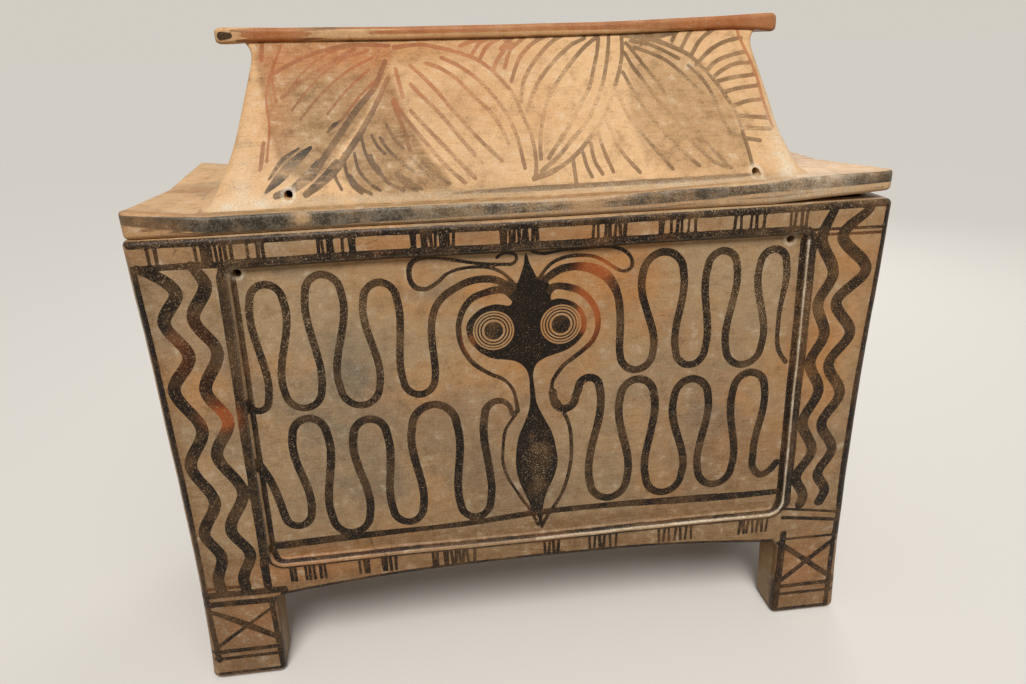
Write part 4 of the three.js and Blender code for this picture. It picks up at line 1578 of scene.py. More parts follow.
def chest_paint(points):
    """Paint, firing, painted shade and painted highlights of the chest at each point, from the face that it
    is nearest to.
    """
    fields = blank_fields(points)
    depths = np.stack([wall.view(points)[1] for wall in WALLS.values()])
    nearest = depths.argmin(axis=0)
    for order, (side, wall) in enumerate(WALLS.items()):
        depth = depths[order]
        picked = np.flatnonzero((nearest == order) & (depth < PAINTED_DEPTH))
        if not len(picked):
            continue
        along, _, z = wall.view(points[picked])
        places = np.stack([along, z], axis=1)
        brush = front_brush(places) if side == "front" else plain_brush(wall, places)
        paint_face(fields, picked, brush, SPOTS[side], places)
        fields["slip"][picked] -= WRAP_LOSS * limit(depth[picked] - WRAP_DEPTH, 0, KEPT)
        # Painted highlight along the moulding's crest, where the light catches it: full on the right half of
        # the opening, faint on the left half and under the rail
        crest = (opening_distance(wall, along, z) + CREST_REACH) / CREST_WIDTH
        side_share = np.where(along < 0, CREST_LEFT_SHARE, CREST_RIGHT_SHARE)
        side_share = np.where(z > RAIL_FOOT - HEAD_CORNER, CREST_TOP_SHARE, side_share)
        fields["edge"][picked] = side_share * np.exp(-crest * crest)
        # Painted shade: the clay darkens towards the foot, as the light falls off towards the floor
        foot_shade = limit((FOOT_SHADE_FROM - z) / FOOT_SHADE_FROM)
        washes = FRONT_WASH_AND_SHADE if side == "front" else NO_SPOTS
        fields["wash"][picked] = limit(foot_shade + soft_spots(places, washes))
        if side in ("front", "back"):
            fields["edge"][picked] += hole_rim_highlight(places, CHEST_HOLES)
        if side == "front":
            away = np.min([np.hypot(*(places - eye).T) for eye in EYES], axis=0)
            fields["eye"][picked] = limit(EYE_REACH + KEPT - away, 0, EYE_REACH + KEPT)
    return fields


# The leaves on the lid's slopes, as strokes up the slope

LEAF_LEFT = [
    [
        (-167.5, 952.5, 7), (-127.5, 955), (-100, 950), (-75, 943.7), (-50, 935), (-30, 922.5),
        (-12.5, 905), (0, 890), (11, 860), (17.5, 845), (21, 825), (21, 805), (17.5, 787.5, 6),
    ],
    [(-146, 929), (-127.5, 912.5), (-107.5, 892.5), (-90, 872.5), (-67.5, 847.5), (-50, 830), (-27.5, 810)],
    [(-122.5, 931), (-105, 925), (-80, 910), (-60, 890), (-40, 872.5), (-25, 852.5), (-15, 830)],
    [
        (-100, 937.5), (-77.5, 927.5), (-57.5, 915), (-37.5, 897.5), (-22.5, 880), (-10, 860),
        (-2.5, 840), (4, 800),
    ],
    [(-147.5, 905), (-132.5, 890), (-112.5, 872.5), (-95, 852.5), (-80, 835), (-65, 817.5)],
    [
        (-172.5, 887.5), (-162.5, 870), (-150, 855), (-135, 837.5), (-117.5, 817.5), (-100, 800),
        (-82.5, 785),
    ],
    [(-150, 872.5), (-127.5, 850), (-107.5, 830), (-87.5, 810), (-67.5, 790)],
    [(-167.5, 925), (-160, 890)],
    [(-175, 885), (-167.5, 865), (-160, 845), (-155, 825)],
    [(-175, 955), (-212, 957), (-250, 955), (-287, 947), (-320, 935), (-340, 925)],
    [(-225, 952), (-260, 935), (-287, 922), (-310, 910), (-330, 895)],
    [(-70, 952), (-37.5, 961)],
    [(-52.5, 942.5), (-40, 955), (-17.5, 962.5)],
    [(-42.5, 935), (-30, 950), (-10, 960)],
    [(-25, 920), (-15, 935), (0, 947.5), (10, 952.5)],
    [(-356, 842), (-361, 812)],
    [(-357, 968), (-358, 942)],
]
LEAF_DARK = [
    [(-262, 814), (-260, 798), (-252, 783)],
    [(-222, 843), (-216, 822), (-206, 806), (-190, 792)],
    [(-196, 842), (-184, 826), (-168, 812), (-150, 800)],
    [(-186, 858), (-176, 840), (-164, 828)],
    [(-178, 800), (-165, 786), (-150, 778)],
    [(-240, 800), (-228, 785), (-212, 776)],
    [(-140, 812), (-122, 797), (-104, 784)],
    [(-155, 817.5), (-140, 802.5), (-125, 790)],
    [(-247.5, 825), (-245, 805), (-237.5, 787.5), (-225, 777.5)],
    [(-232.5, 825), (-227.5, 805), (-215, 790), (-200, 780)],
    [(-207.5, 845), (-200, 832.5), (-190, 822.5)],
    [(-202.5, 810), (-190, 790), (-167.5, 779)],
    [(-210, 822), (-205, 810)],
    [(-175, 800), (-142.5, 779)],
]
STEM_LEFT = [
    [
        (-182, 935, 7), (-200, 902.5, 8), (-225, 877.5), (-245, 855), (-260, 837.5), (-275, 820),
        (-290, 802.5), (-310, 790), (-340, 780),
    ],
    [
        (-180, 912.5, 7), (-210, 865, 8), (-227.5, 842.5), (-242.5, 825), (-257.5, 807.5),
        (-277.5, 792.5), (-300, 780),
    ],
]
LEAF_MIDDLE = [
    [
        (15, 786, 7), (35, 791, 7), (57.5, 800), (80, 812.5), (102.5, 830), (125, 850), (140, 870),
        (152.5, 890), (165, 912.5), (174, 935), (177.5, 957.5),
    ],
    [
        (27.5, 795), (52.5, 810), (77.5, 830), (100, 847.5), (117.5, 867.5), (132.5, 890),
        (142.5, 910), (150, 930), (156, 950), (158, 962.5),
    ],
    [(40, 810), (62.5, 832.5), (82.5, 852.5), (100, 875), (115, 892.5), (126, 915), (135, 935), (141, 955)],
    [
        (28.7, 810), (31, 830), (37.5, 852.5), (47.5, 875), (62.5, 895), (82.5, 915),
        (102.5, 932.5), (122.5, 947.5), (140, 957.5),
    ],
    [(17.5, 867.5), (27.5, 885), (40, 902.5), (55, 917.5), (77.5, 935), (97.5, 947.5), (120, 956)],
    [(11, 880), (15, 897.5), (27.5, 917.5), (47.5, 937.5), (72.5, 955), (102.5, 965)],
    [(0, 905), (5, 915), (17.5, 935), (40, 952.5), (65, 962.5)],
    [(-7.5, 922), (5, 945), (27.5, 960)],
    [(-10, 947), (10, 961)],
    [(75, 805), (75, 777.5)],
    [(91, 815), (94, 797.5), (99, 785)],
    [(105, 825), (106, 805), (115, 787.5)],
    [(117.5, 840), (122.5, 815), (131, 790)],
]
LEAF_RIGHT = [
    [
        (185, 957.5, 8), (202.5, 955, 8), (227.5, 950, 8), (252.5, 940, 7), (277.5, 927.5, 7),
        (297.5, 907.5), (315, 885), (327.5, 862.5), (334, 842.5), (336, 825), (339, 805), (340, 790),
    ],
    [(190, 950), (215, 945), (240, 935), (260, 924)],
    [(195, 941), (222.5, 931), (240, 922.5), (252.5, 912.5), (277.5, 887.5)],
    [(272.5, 915), (290, 897.5), (302.5, 872.5), (307.5, 850), (317, 830)],
    [(182.5, 947.5), (190, 937.5), (202.5, 920), (215, 902.5), (230, 880)],
    [
        (177.5, 935), (187.5, 915), (200, 897.5), (212.5, 877.5), (225, 862.5), (240, 845),
        (252.5, 825), (267.5, 810), (285, 795), (307.5, 787.5),
    ],
    [
        (170, 910), (180, 887.5), (192.5, 865), (207.5, 845), (225, 825), (242.5, 807.5), (260, 792.5),
    ],
    [(155, 885), (165, 860), (177.5, 840), (190, 825), (205, 807.5), (220, 790)],
    [(132.5, 852.5), (140, 830), (152.5, 807.5), (170, 787.5)],
    [(250, 855), (262.5, 837.5), (277.5, 820), (290, 805), (300, 795)],
    [(255, 947.5), (267.5, 962.5), (282.5, 972.5)],
    [(267.5, 937.5), (282.5, 955), (297.5, 967.5), (312.5, 974)],
    [(282.5, 930), (300, 947.5), (322.5, 960), (347.5, 970)],
    [(285, 915), (295, 922.5), (315, 935), (340, 944), (365, 947.5)],
    [(300, 907.5), (315, 917.5), (335, 924), (365, 929)],
    [(310, 900), (325, 907.5), (345, 914), (372.5, 915)],
    [(315, 894), (340, 897.5), (375, 900)],
    [(320, 880), (345, 884), (375, 886)],
    [(330, 862.5), (352.5, 867.5), (377.5, 869)],
    [(335, 850), (377.5, 846)],
    [(339, 835), (380, 832.5)],
    [(337.5, 822.5), (360, 819)],
]
END_STRIPE = [(360, 970), (362.5, 947.5), (370, 925), (376, 897.5), (377.5, 870), (384, 835)]
RIDGE_PATCH = [(203, 955), (225, 962), (268, 973), (240, 974), (215, 972)]
FOOT_LINE = [(-100, 773, 2), (-40, 774, 5), (120, 775, 6), (250, 776, 6), (350, 778, 3)]
FLAKED_STROKES = [
    [(-354, 785, 4), (-341, 796, 11), (-325, 810, 15), (-307, 824, 11), (-292, 834, 5)],
    [(-350, 800, 3), (-330, 822, 6), (-308, 834, 3)],
    [(-316, 792, 4), (-300, 803, 7), (-282, 818, 5)],
    [(-296, 786, 4), (-276, 799, 8), (-258, 817, 6)],
    [(-268, 851, 3), (-260, 858, 6), (-250, 864, 2)],
]
LEAF_FAINT = [
    [(-340, 940), (-352, 900), (-348, 860), (-352, 820)],
    [(-330, 960), (-343, 925), (-338, 890)],
    [(-322, 900), (-300, 925), (-262, 948), (-215, 958)],
    [(-316, 880), (-285, 912), (-245, 938), (-205, 950)],
    [(-305, 868), (-270, 902), (-235, 925), (-200, 940)],
    [(-268, 872), (-240, 900), (-206, 925)],
    [(-250, 862), (-226, 888), (-200, 910)],
]
LEAF_WIDTH = 5.8
LEAF_CALM = 800
LIFT_LEFT = 13
LIFT_RIGHT = 20


def lifted(stop):
    """A stop of a leaf, drawn up towards the ridge, and more so at the right."""
    x, z, *width = stop
    rise = max(0, z - LEAF_CALM) / (RIDGE_HEAD - LEAF_CALM)
    return (x, z + rise * mix(LIFT_LEFT, LIFT_RIGHT, float(limit(x / GABLE_RIGHT))), *width)


# Families of strokes on a slope, each with its width and how red it fired
SLOPE_STROKES = [
    (LEAF_LEFT, LEAF_WIDTH, 0.32),
    (LEAF_DARK, 4.6, -0.3),
    (STEM_LEFT, 9, -0.35),
    (FLAKED_STROKES, 8, -0.7),
    (LEAF_FAINT, 3.8, 0.45),
    (LEAF_MIDDLE, LEAF_WIDTH, 0.2),
    (LEAF_RIGHT, LEAF_WIDTH, -0.05),
    ([END_STRIPE], 5, 0.9),
    ([FOOT_LINE], 5, 0.0),
]
RIDGE_PATCH_RUST = -0.2


def paint_slope(brush):
    for family, width, rust in SLOPE_STROKES:
        for stroke in family:
            brush.line([lifted(stop) for stop in stroke], width, rust)
    brush.fill(RIDGE_PATCH, RIDGE_PATCH_RUST)


# Outlines of the thin washes between the leaves
WASHES = [
    [
        (-368, 985), (-300, 985), (-190, 982), (-174, 960), (-180, 922), (-196, 896), (-216, 868),
        (-240, 842), (-262, 818), (-285, 798), (-308, 802), (-328, 812), (-343, 835), (-350, 880),
        (-362, 920),
    ],
    [
        (-178, 925), (-163, 885), (-148, 850), (-128, 815), (-104, 786), (-150, 777), (-205, 778),
        (-248, 796), (-236, 828), (-206, 868), (-188, 900),
    ],
    [
        (186, 950), (228, 944), (276, 924), (313, 883), (331, 842), (337, 790), (280, 784), (215, 790),
        (180, 815), (170, 860), (178, 905),
    ],
]
WASH_SOFT = 9
LEFT_WASH_SHARE = 1.25
RIGHT_WASH_SHARE = 0.5
BARE_SPOTS = [(-312, 842, 30, 16, 0.5), (-262, 836, 20, 10, 0.6), (-150, 812, 14, 12, 0.6)]


def slope_wash(places):
    """Thin washes of slip between the leaves, with places where they flaked off."""
    wash = Brush(places)
    for outline in WASHES:
        wash.fill([lifted(stop) for stop in outline])
    strength = np.where(places[:, 0] > 0, RIGHT_WASH_SHARE, LEFT_WASH_SHARE)
    laid = limit((wash.slip + WASH_SOFT / 2) / WASH_SOFT) * strength
    return limit(laid - soft_spots(places, BARE_SPOTS))


SLOPE_RUST = [
    (-280, 940, 110, 40, 0.5), (-110, 920, 90, 55, 0.7), (-190, 900, 40, 45, 0.5),
    (-185, 800, 60, 30, 0.3), (-20, 950, 60, 24, 0.9), (375, 890, 20, 90, 0.5),
    (-356, 900, 25, 90, 0.6), (160, 810, 40, 40, 0.4),
]
SLOPE_GLOW = [
    (-250, 955, 130, 26, 0.9), (-110, 910, 120, 50, 0.4), (-340, 900, 24, 70, 0.6),
    (40, 870, 120, 60, 0.2), (0, 955, 200, 18, 0.5),
]
# Painted shade at the slope's two ends, which the light reaches less than its lit middle, and grey bands
# along the slope's foot
SLOPE_GREY_AND_SHADE = [
    (-315, 812, 40, 22, 0.8), (-300, 868, 60, 30, 0.5), (265, 865, 75, 65, 0.4),
    (-150, 772, 300, 8, 0.9), (250, 772, 220, 8, 0.8),
]
SLOPE_WEAR = [
    (-322, 810, 34, 24, 0.5), (-278, 806, 26, 24, 0.3), (-290, 920, 80, 50, 0.4),
    (-60, 870, 130, 70, 0.5), (250, 850, 120, 70, 0.8), (90, 880, 90, 60, 0.5), (-150, 800, 60, 30, 0.5),
]
SLAB_RUST = [(-510, 752, 40, 20, 0.6), (440, 770, 90, 16, 0.5), (-60, 740, 120, 6, 0.5)]
# Whitish spots on the slopes: chalky wear, and a painted highlight at the foot of the right end
SLOPE_CHALK_AND_HIGHLIGHT = [
    (-385, 800, 14, 40, 0.35), (-322, 808, 30, 24, 0.15), (392, 800, 16, 60, 0.8), (-200, 771, 200, 5, 0.35),
    (250, 771, 200, 5, 0.4), (-385, 772, 40, 10, 0.8),
]
SLAB_WASH = [
    (0, 752, 700, 14, 0.55), (0, 742, 700, 9, 0.4), (-200, 766, 500, 5, 0.6), (200, 768, 300, 5, 0.5),
    (-410, 760, 90, 30, 0.3),
]
# Painted highlights on the slab's top, at its two ends and along its front edge, given as places seen from
# above
SLAB_HIGHLIGHT = [
    (440, -150, 80, 60, 1.3), (400, -90, 50, 90, 1.2), (-430, -120, 40, 60, 0.6), (0, -225, 500, 4, 0.3),
]
SLAB_GLOW = [(-480, 752, 60, 30, 0.6), (100, 750, 120, 20, 0.4), (300, 750, 120, 20, 0.4)]
SLAB_ASH = [(-200, 770, 160, 12, 0.4), (180, 763, 60, 14, 0.8), (430, 770, 80, 14, 0.5)]
RIDGE_STROKES = [
    ([(-412, 986), (-400, 986, 8)], 12, -0.6),
    ([(-398, 993), (-360, 992, 6), (-250, 991)], 3, 0.3),
    ([(-392, 979), (-352, 979, 6), (-270, 978, 2)], 3, 0.2),
    ([(-382, 986), (-350, 986, 15), (-318, 985, 12), (-285, 985, 3)], 5, 0.9),
    ([(-250, 991), (-120, 991, 5), (0, 992, 6)], 3, 0.7),
    ([(-200, 984), (-110, 985, 9), (0, 986, 12), (200, 987, 16), (425, 986, 34)], 4, 0.9),
    ([(-395, 974), (-200, 973), (0, 972, 2.5), (200, 973), (330, 973, 4), (415, 969, 7)], 3, -0.1),
    ([(-330, 993, 2), (-120, 990)], 1.5, -0.1),
    ([(40, 989, 1.5), (180, 991), (320, 994), (410, 997, 3)], 2, -0.1),
]
SLAB_STROKES = [
    (
        [
            (-533, 754, 13), (-450, 754, 19), (-250, 754, 19), (-100, 755, 17), (0, 755, 14),
            (90, 755, 11), (150, 756), (260, 755), (330, 755, 13), (400, 756, 17), (532, 756),
        ],
        16,
        -0.7,
    ),
    ([(-520, 742), (-200, 742), (100, 742), (520, 742)], 2, -0.2),
]
RIDGE_WEAR = [(0, 985, 500, 40, 0.25)]
SLAB_WEAR = [
    (-305, 757, 12, 9, 1.0), (0, 757, 70, 12, 0.35), (90, 757, 45, 12, 0.6), (310, 757, 60, 14, 0.4),
    (300, 757, 400, 40, 0.15),
]
RIDGE_RUST = [(-340, 985, 34, 30, 1.4), (-155, 985, 60, 10, 0.9), (150, 985, 260, 16, 0.4)]
RIDGE_GLOW = [(-340, 985, 50, 30, 1.0), (120, 985, 240, 20, 0.9), (320, 985, 90, 20, 0.9)]
RIDGE_ASH = [(-416, 985, 12, 20, 0.3), (-270, 985, 40, 20, 0.3)]
GABLE_END_RUST = [(30, 900, 40, 40, 0.7)]
GABLE_END_GLOW = [(0, 870, 80, 70, 0.6)]
GABLE_END_ASH = [(-60, 800, 60, 40, 0.6)]
SLOPE_SPOTS = (SLOPE_RUST, SLOPE_GLOW, SLOPE_GREY_AND_SHADE, SLOPE_WEAR)
SLAB_SPOTS = (SLAB_RUST, SLAB_GLOW, SLAB_ASH, SLAB_WEAR)
GABLE_END_SPOTS = (GABLE_END_RUST, GABLE_END_GLOW, GABLE_END_ASH, NO_SPOTS)
RIDGE_SPOTS = (RIDGE_RUST, RIDGE_GLOW, RIDGE_ASH, RIDGE_WEAR)

GABLE_END_STEM = [(0, 778), (2, 860), (0, 960)]
GABLE_END_STEM_WIDTH = 7
GABLE_END_LEAVES = 6
GABLE_END_LEAF_WIDTH = 6
GABLE_END_REACH = 150
LEAF_ROOT = (3, 955)
LEAF_BEND_HEIGHT = 900
LEAF_FOOT_HEIGHT = 782
LEAF_DROP = 90
LEAF_BEND_SHARE = 0.5


def paint_gable_end(brush):
    """Leaves that spread from a stem in the middle of each end of the gable."""
    brush.line(GABLE_END_STEM, GABLE_END_STEM_WIDTH)
    root, high = LEAF_ROOT
    for place in range(GABLE_END_LEAVES):
        share = (place + 1) / GABLE_END_LEAVES
        drop = LEAF_DROP * share
        for side in (-1, 1):
            outward = side * GABLE_END_REACH * share
            bend = (outward * LEAF_BEND_SHARE, LEAF_BEND_HEIGHT - drop)
            leaf = [(side * root, high - drop), bend, (outward, LEAF_FOOT_HEIGHT)]
            brush.line(leaf, GABLE_END_LEAF_WIDTH)


# Which part of the lid a point belongs to
RIDGE_SEAT = 1.5
SLAB_SEAT = 1.5
SLAB_HEAD_REACH = 18
GABLE_FOOT_REACH = 14
SLAB_WRAP_DEPTH = 7


def lid_regions(x, y, z):
    """Which points lie on the outside of the slopes, on that of the ends, on the slab, on the ridge."""
    rise = limit((z - SLAB_HEAD) / (RIDGE_HEAD - RIDGE_THICKNESS - SLAB_HEAD))
    on_ridge = z > ridge_top(x) - ridge_thickness(x) - RIDGE_SEAT
    in_wall = (z > SLAB_HEAD + SLAB_SEAT) & ~on_ridge & (np.abs(y) < GABLE_FOOT + GABLE_FOOT_REACH)
    slope = in_wall & (np.abs(y) > gable_depth(rise) - SLOPE_WALL / 2)
    reach = np.where(x < 0, gable_reach(-1, rise), gable_reach(1, rise))
    end = in_wall & (np.abs(x) > reach - END_WALL / 2) & ~slope
    slab = (z < SLAB_HEAD + SLAB_HEAD_REACH) & ~slope & ~end
    return slope, end, slab, on_ridge


def lid_paint(points):
    """Paint, firing, painted shade and painted highlights of the lid at each point: slopes, ends, slab and
    ridge.
    """
    fields = blank_fields(points)
    x, y, z = points.T
    slope, end, slab, ridge = lid_regions(x, y, z)
    for side in (-1, 1):
        picked = np.flatnonzero(slope & (side * y > 0))
        places = np.stack([-side * x[picked], z[picked]], axis=1)
        brush = Brush(places)
        paint_slope(brush)
        paint_face(fields, picked, brush, SLOPE_SPOTS, places)
        fields["wash"][picked] = slope_wash(places)
        fields["edge"][picked] = soft_spots(places, SLOPE_CHALK_AND_HIGHLIGHT) + hole_rim_highlight(places, LID_HOLES)
        picked = np.flatnonzero(slab & (side * y > 0))
        lift = slab_top(x[picked], y[picked]) - SLAB_HEAD
        places = np.stack([-side * x[picked], z[picked] - lift], axis=1)
        brush = Brush(places)
        paint_strokes(brush, SLAB_STROKES)
        brush.slip -= WRAP_LOSS * limit(SLAB_FACE - SLAB_WRAP_DEPTH - np.abs(y[picked]), 0, KEPT)
        paint_face(fields, picked, brush, SLAB_SPOTS, places)
        fields["wash"][picked] = soft_spots(places, SLAB_WASH)
        # Painted highlights on the slab's top
        level = np.stack([-side * x[picked], -side * y[picked]], axis=1)
        fields["edge"][picked] = soft_spots(level, SLAB_HIGHLIGHT)
        picked = np.flatnonzero(end & (side * x > 0))
        places = np.stack([y[picked], z[picked]], axis=1)
        brush = Brush(places)
        paint_gable_end(brush)
        paint_face(fields, picked, brush, GABLE_END_SPOTS, places)
    picked = np.flatnonzero(ridge)
    places = np.stack([x[picked], z[picked]], axis=1)
    brush = Brush(places)
    paint_strokes(brush, RIDGE_STROKES)
    paint_face(fields, picked, brush, RIDGE_SPOTS, places)
    return fields


# Materials: burnished clay, the slip painted on it, and what age did to both

EYE_DARK_BANDS = [(0, 14.1), (17.3, 19.5), (21.8, 24), (26.5, 28)]
BAND_BLUR = 0.5

# Noises in the clay: grain in metres, detail, roughness, and stretch and shift of its coordinates
EVEN = (1, 1, 1)
UNMOVED = (0, 0, 0)
NOISES = {
    "clouds": (0.13, 4, 0.6, EVEN, UNMOVED),
    "mottle": (0.02, 5, 0.65, EVEN, UNMOVED),
    "blotch": (0.045, 5, 0.62, EVEN, (5, 2, 7)),
    "grain": (0.0012, 2, 0.7, EVEN, UNMOVED),
    "speck": (0.002, 3, 0.7, EVEN, (1, 8, 4)),
    "streak": (0.005, 4, 0.7, (0.16, 1, 1), (3, 1, 2)),
    "drift": (0.19, 3, 0.55, EVEN, (4, 9, 1)),
    "burnish": (0.0022, 3, 0.6, (0.09, 0.5, 1), (6, 3, 9)),
}
CRACK_CELL = 0.16
CRACK_SHIFT = (2, 2, 2)
CRACK_EDGES = (0.006, 0.001)
BUMP_HEIGHT = 0.4 * MM
BUMP_SHARE = 0.5
SPECULAR_SHARE = 0.2

# How far the slip's edge wanders and how soft it is, in millimetres
MOTTLE_WANDER = 1.3
SPECK_WANDER = 1.1
SLIP_BLUR = 0.4

# What stains and chalks the clay: a noise, where its mark begins and is full, and its share
STAIN_SHARES = [("mottle", 0.48, 0.75, 0.4), ("streak", 0.5, 0.8, 0.3), ("speck", 0.5, 0.25, 0.4)]
CHALK_SHARES = [("speck", 0.52, 0.82, 0.55), ("mottle", 0.46, 0.25, 0.35), ("burnish", 0.5, 0.85, 0.16)]
GRIT_SHARES = [("grain", 0.6, 0.85, 0.5), ("burnish", 0.48, 0.2, 0.13)]

# The shares that tell the two clays apart
CLAY_SHARES = {
    "chest": {"faded": 0.0, "speckled": 0.75, "swept": 0.15, "varied": 1.0},
    "lid": {"faded": 0.7, "speckled": 0.25, "swept": 0.8, "varied": 0.5},
}
OWN_TONES = ("clay", "ash", "haze")


class Clay:
    """What one of the two clays is made from: its noises, its painted fields, its tones and shares.

    faded is how thin the slip has worn, speckled how pitted it is, swept how far it is rubbed in
    streaks, and varied how much the firing changed the clay from place to place.
    """

    def __init__(self, graph, kind):
        self.graph = graph
        self.kind = kind
        for name, (grain, detail, roughness, stretch, shift) in NOISES.items():
            setattr(self, name, graph.noise(graph.place(stretch, shift), grain, detail, roughness))
        for name in FIELDS:
            setattr(self, f"{name}_field", graph.attribute(name))
        for name, share in CLAY_SHARES[kind].items():
            setattr(self, name, share)

    def tone(self, name):
        """A tone of the clay or the slip; some have one for each clay."""
        if name in OWN_TONES:
            name = f"{self.kind}_{name}"
        return tuple(getattr(bpy.context.scene.clay_paint, name))

    def marked(self, shares):
        """How far the clay is marked by several noises together."""
        total = None
        for name, start, full, share in shares:
            mark = getattr(self, name).over(start, full) * share
            total = total + mark if total else mark
        return total.clamped()


def bare_clay(clay):
    """The clay's colour, from warm to grey, with painted shade, thin washes, stains, chalky specks and grit,
    and how grey and shaded it is.
    """
    mix_tones = clay.graph.mix
    clouds, mottle, blotch = clay.clouds, clay.mottle, clay.blotch
    warmed = clay.glow_field * (clouds * 0.9 + mottle * 0.6)
    warmth = (warmed + (clouds - 0.5) * 2.6 * clay.varied).clamped()
    # This field turns the clay grey: fired grey patches, and painted shade on the chest's lower panel and
    # feet and at the ends of the lid's slopes
    shaded_grey = clay.ash_field * (blotch + mottle * 0.6 - 0.1)
    grey = (shaded_grey + (clay.drift + blotch * 0.5 - 0.77) * 2.8 * clay.varied).clamped()
    body = mix_tones(clay.tone("clay"), clay.tone("glow"), warmth)
    body = mix_tones(body, clay.tone("ash"), grey)
    # Thin washes of slip, and on the chest also painted shade that darkens it towards the foot
    redden = (clay.glow_field * (mottle * 0.9 + 0.5)).clamped()
    wash = mix_tones(clay.tone("haze"), clay.tone("wash"), redden)
    washed = clay.wash_field * (mottle * 0.9 + clay.streak * 0.7 - 0.05).clamped()
    body = mix_tones(body, wash, washed.clamped())
    body = mix_tones(body, clay.tone("stain"), clay.marked(STAIN_SHARES))
    body = mix_tones(body, clay.tone("pale"), clay.marked(CHALK_SHARES))
    return mix_tones(body, clay.tone("stain"), clay.marked(GRIT_SHARES)), grey


def eye_paint(clay):
    """How far the rings of the eyes are painted over, and where the rings are at all."""
    away = (EYE_REACH + KEPT) - clay.eye_field
    painted = None
    for start, end in EYE_DARK_BANDS:
        band = away.over(end + BAND_BLUR, end - BAND_BLUR)
        if start:
            band = band * away.over(start - BAND_BLUR, start + BAND_BLUR)
        painted = painted + band if painted else band
    return painted, away.over(EYE_REACH + BAND_BLUR, EYE_REACH - BAND_BLUR)


def painted_slip(clay):
    """The slip's colour, how far it covers the clay, and where it is rubbed through."""
    mottle, blotch, speck = clay.mottle, clay.blotch, clay.speck
    rust, wear, faded = clay.rust_field, clay.wear_field, clay.faded
    wander = (mottle - 0.5) * MOTTLE_WANDER + (speck - 0.5) * SPECK_WANDER
    laid = (clay.slip_field + wander).over(-SLIP_BLUR, SLIP_BLUR)
    rings, ringed = eye_paint(clay)
    laid = laid.larger(rings.smaller(ringed))
    redness = (rust * (blotch * 0.8 + 0.55) + (clay.clouds - 0.64) * 0.7).clamped()
    thick = (rust * -1).clamped()
    thin = (blotch.over(0.42, 0.68) * 0.7 + wear * 0.3 + faded - thick).clamped()
    slip = clay.graph.mix(clay.tone("slip_dark"), clay.tone("slip_brown"), thin)
    slip = clay.graph.mix(slip, clay.tone("slip_rust"), redness)
    dots = (speck + mottle * 0.25 + wear * 0.08 - thick * 0.05).over(0.66, 0.86)
    dots = dots * (wear * 0.5 + clay.speckled).clamped()
    swept = clay.streak * (0.7 * clay.swept) + (speck * 0.5 + mottle * 0.2) * (1 - clay.swept)
    rubs = (swept + blotch * 0.5 + wear * 0.36 + faded * 0.1).over(0.74, 1.0) * 0.9
    cover = laid * (1 - dots) * (1 - rubs) * (1 - thin * (0.14 + faded * 0.3))
    return slip, cover, rubs


def cracked(clay):
    """Hair cracks, which open here and there."""
    crack = clay.graph.cracks(clay.graph.place(shift=CRACK_SHIFT), CRACK_CELL).over(*CRACK_EDGES)
    return crack * clay.clouds.over(0.54, 0.64) * clay.mottle.over(0.4, 0.55) * clay.speckled


def clay_material(kind):
    """Fired clay of the chest or of the lid, with its painting."""
    name = f"painted_{kind}_clay"
    made = bpy.data.materials.get(name)
    if made:
        return made
    made = bpy.data.materials.new(name)
    made.use_nodes = True
    graph = Graph(made.node_tree)
    clay = Clay(graph, kind)
    mottle, speck = clay.mottle, clay.speck
    body, grey = bare_clay(clay)
    slip, cover, rubs = painted_slip(clay)
    crack = cracked(clay)
    # Whitish painted highlights from the edge field, on the moulding's crest, round the holes and on the
    # slab's top, with chalky wear on the slopes
    highlight_and_chalk = (clay.edge_field * ((mottle * 0.6 + speck * 0.6).over(0.5, 0.72) + 0.25)).clamped()
    painted = graph.mix(body, slip, cover)
    painted = graph.mix(painted, clay.tone("pale"), highlight_and_chalk)
    painted = graph.mix(painted, clay.tone("slip_dark"), crack * 0.7)
    gloss = 0.5 + (mottle - 0.5) * 0.35 + rubs * 0.1 - cover * 0.1 + grey * 0.05
    height = clay.grain * 0.3 + speck * 0.5 + mottle * 1.2 + clay.streak * 0.5 + cover * 0.15 - crack * 1.5
    bump = graph.node("ShaderNodeBump", Strength=BUMP_SHARE, Distance=BUMP_HEIGHT, Height=height)
    shader = graph.node(
        "ShaderNodeBsdfPrincipled",
        Base_Color=painted,
        Roughness=gloss.clamped(),
        Normal=bump["Normal"],
        Specular_IOR_Level=SPECULAR_SHARE,
    )
    graph.node("ShaderNodeOutputMaterial", Surface=shader["BSDF"])
    return made


# Sizes and colours that a user would change


def colour(name, description, default):
    """A colour property; its default is written as it shows on screen."""
    shown = Color(int(default[place : place + 2], 16) / 255 for place in (0, 2, 4))
    linear = tuple(shown.from_srgb_to_scene_linear())
    return FloatVectorProperty(
        name=name, description=description, default=linear, subtype="COLOR", min=0, max=1
    )


UNEVENNESS = 1.1 * MM
MOST_UNEVEN = 5 * MM


class ClayShape(bpy.types.PropertyGroup):
    unevenness: FloatProperty(
        name="Unevenness",
        description="How far the hand-built walls stray from true",
        default=UNEVENNESS,
        min=0,
        max=MOST_UNEVEN,
        unit="LENGTH",
    )


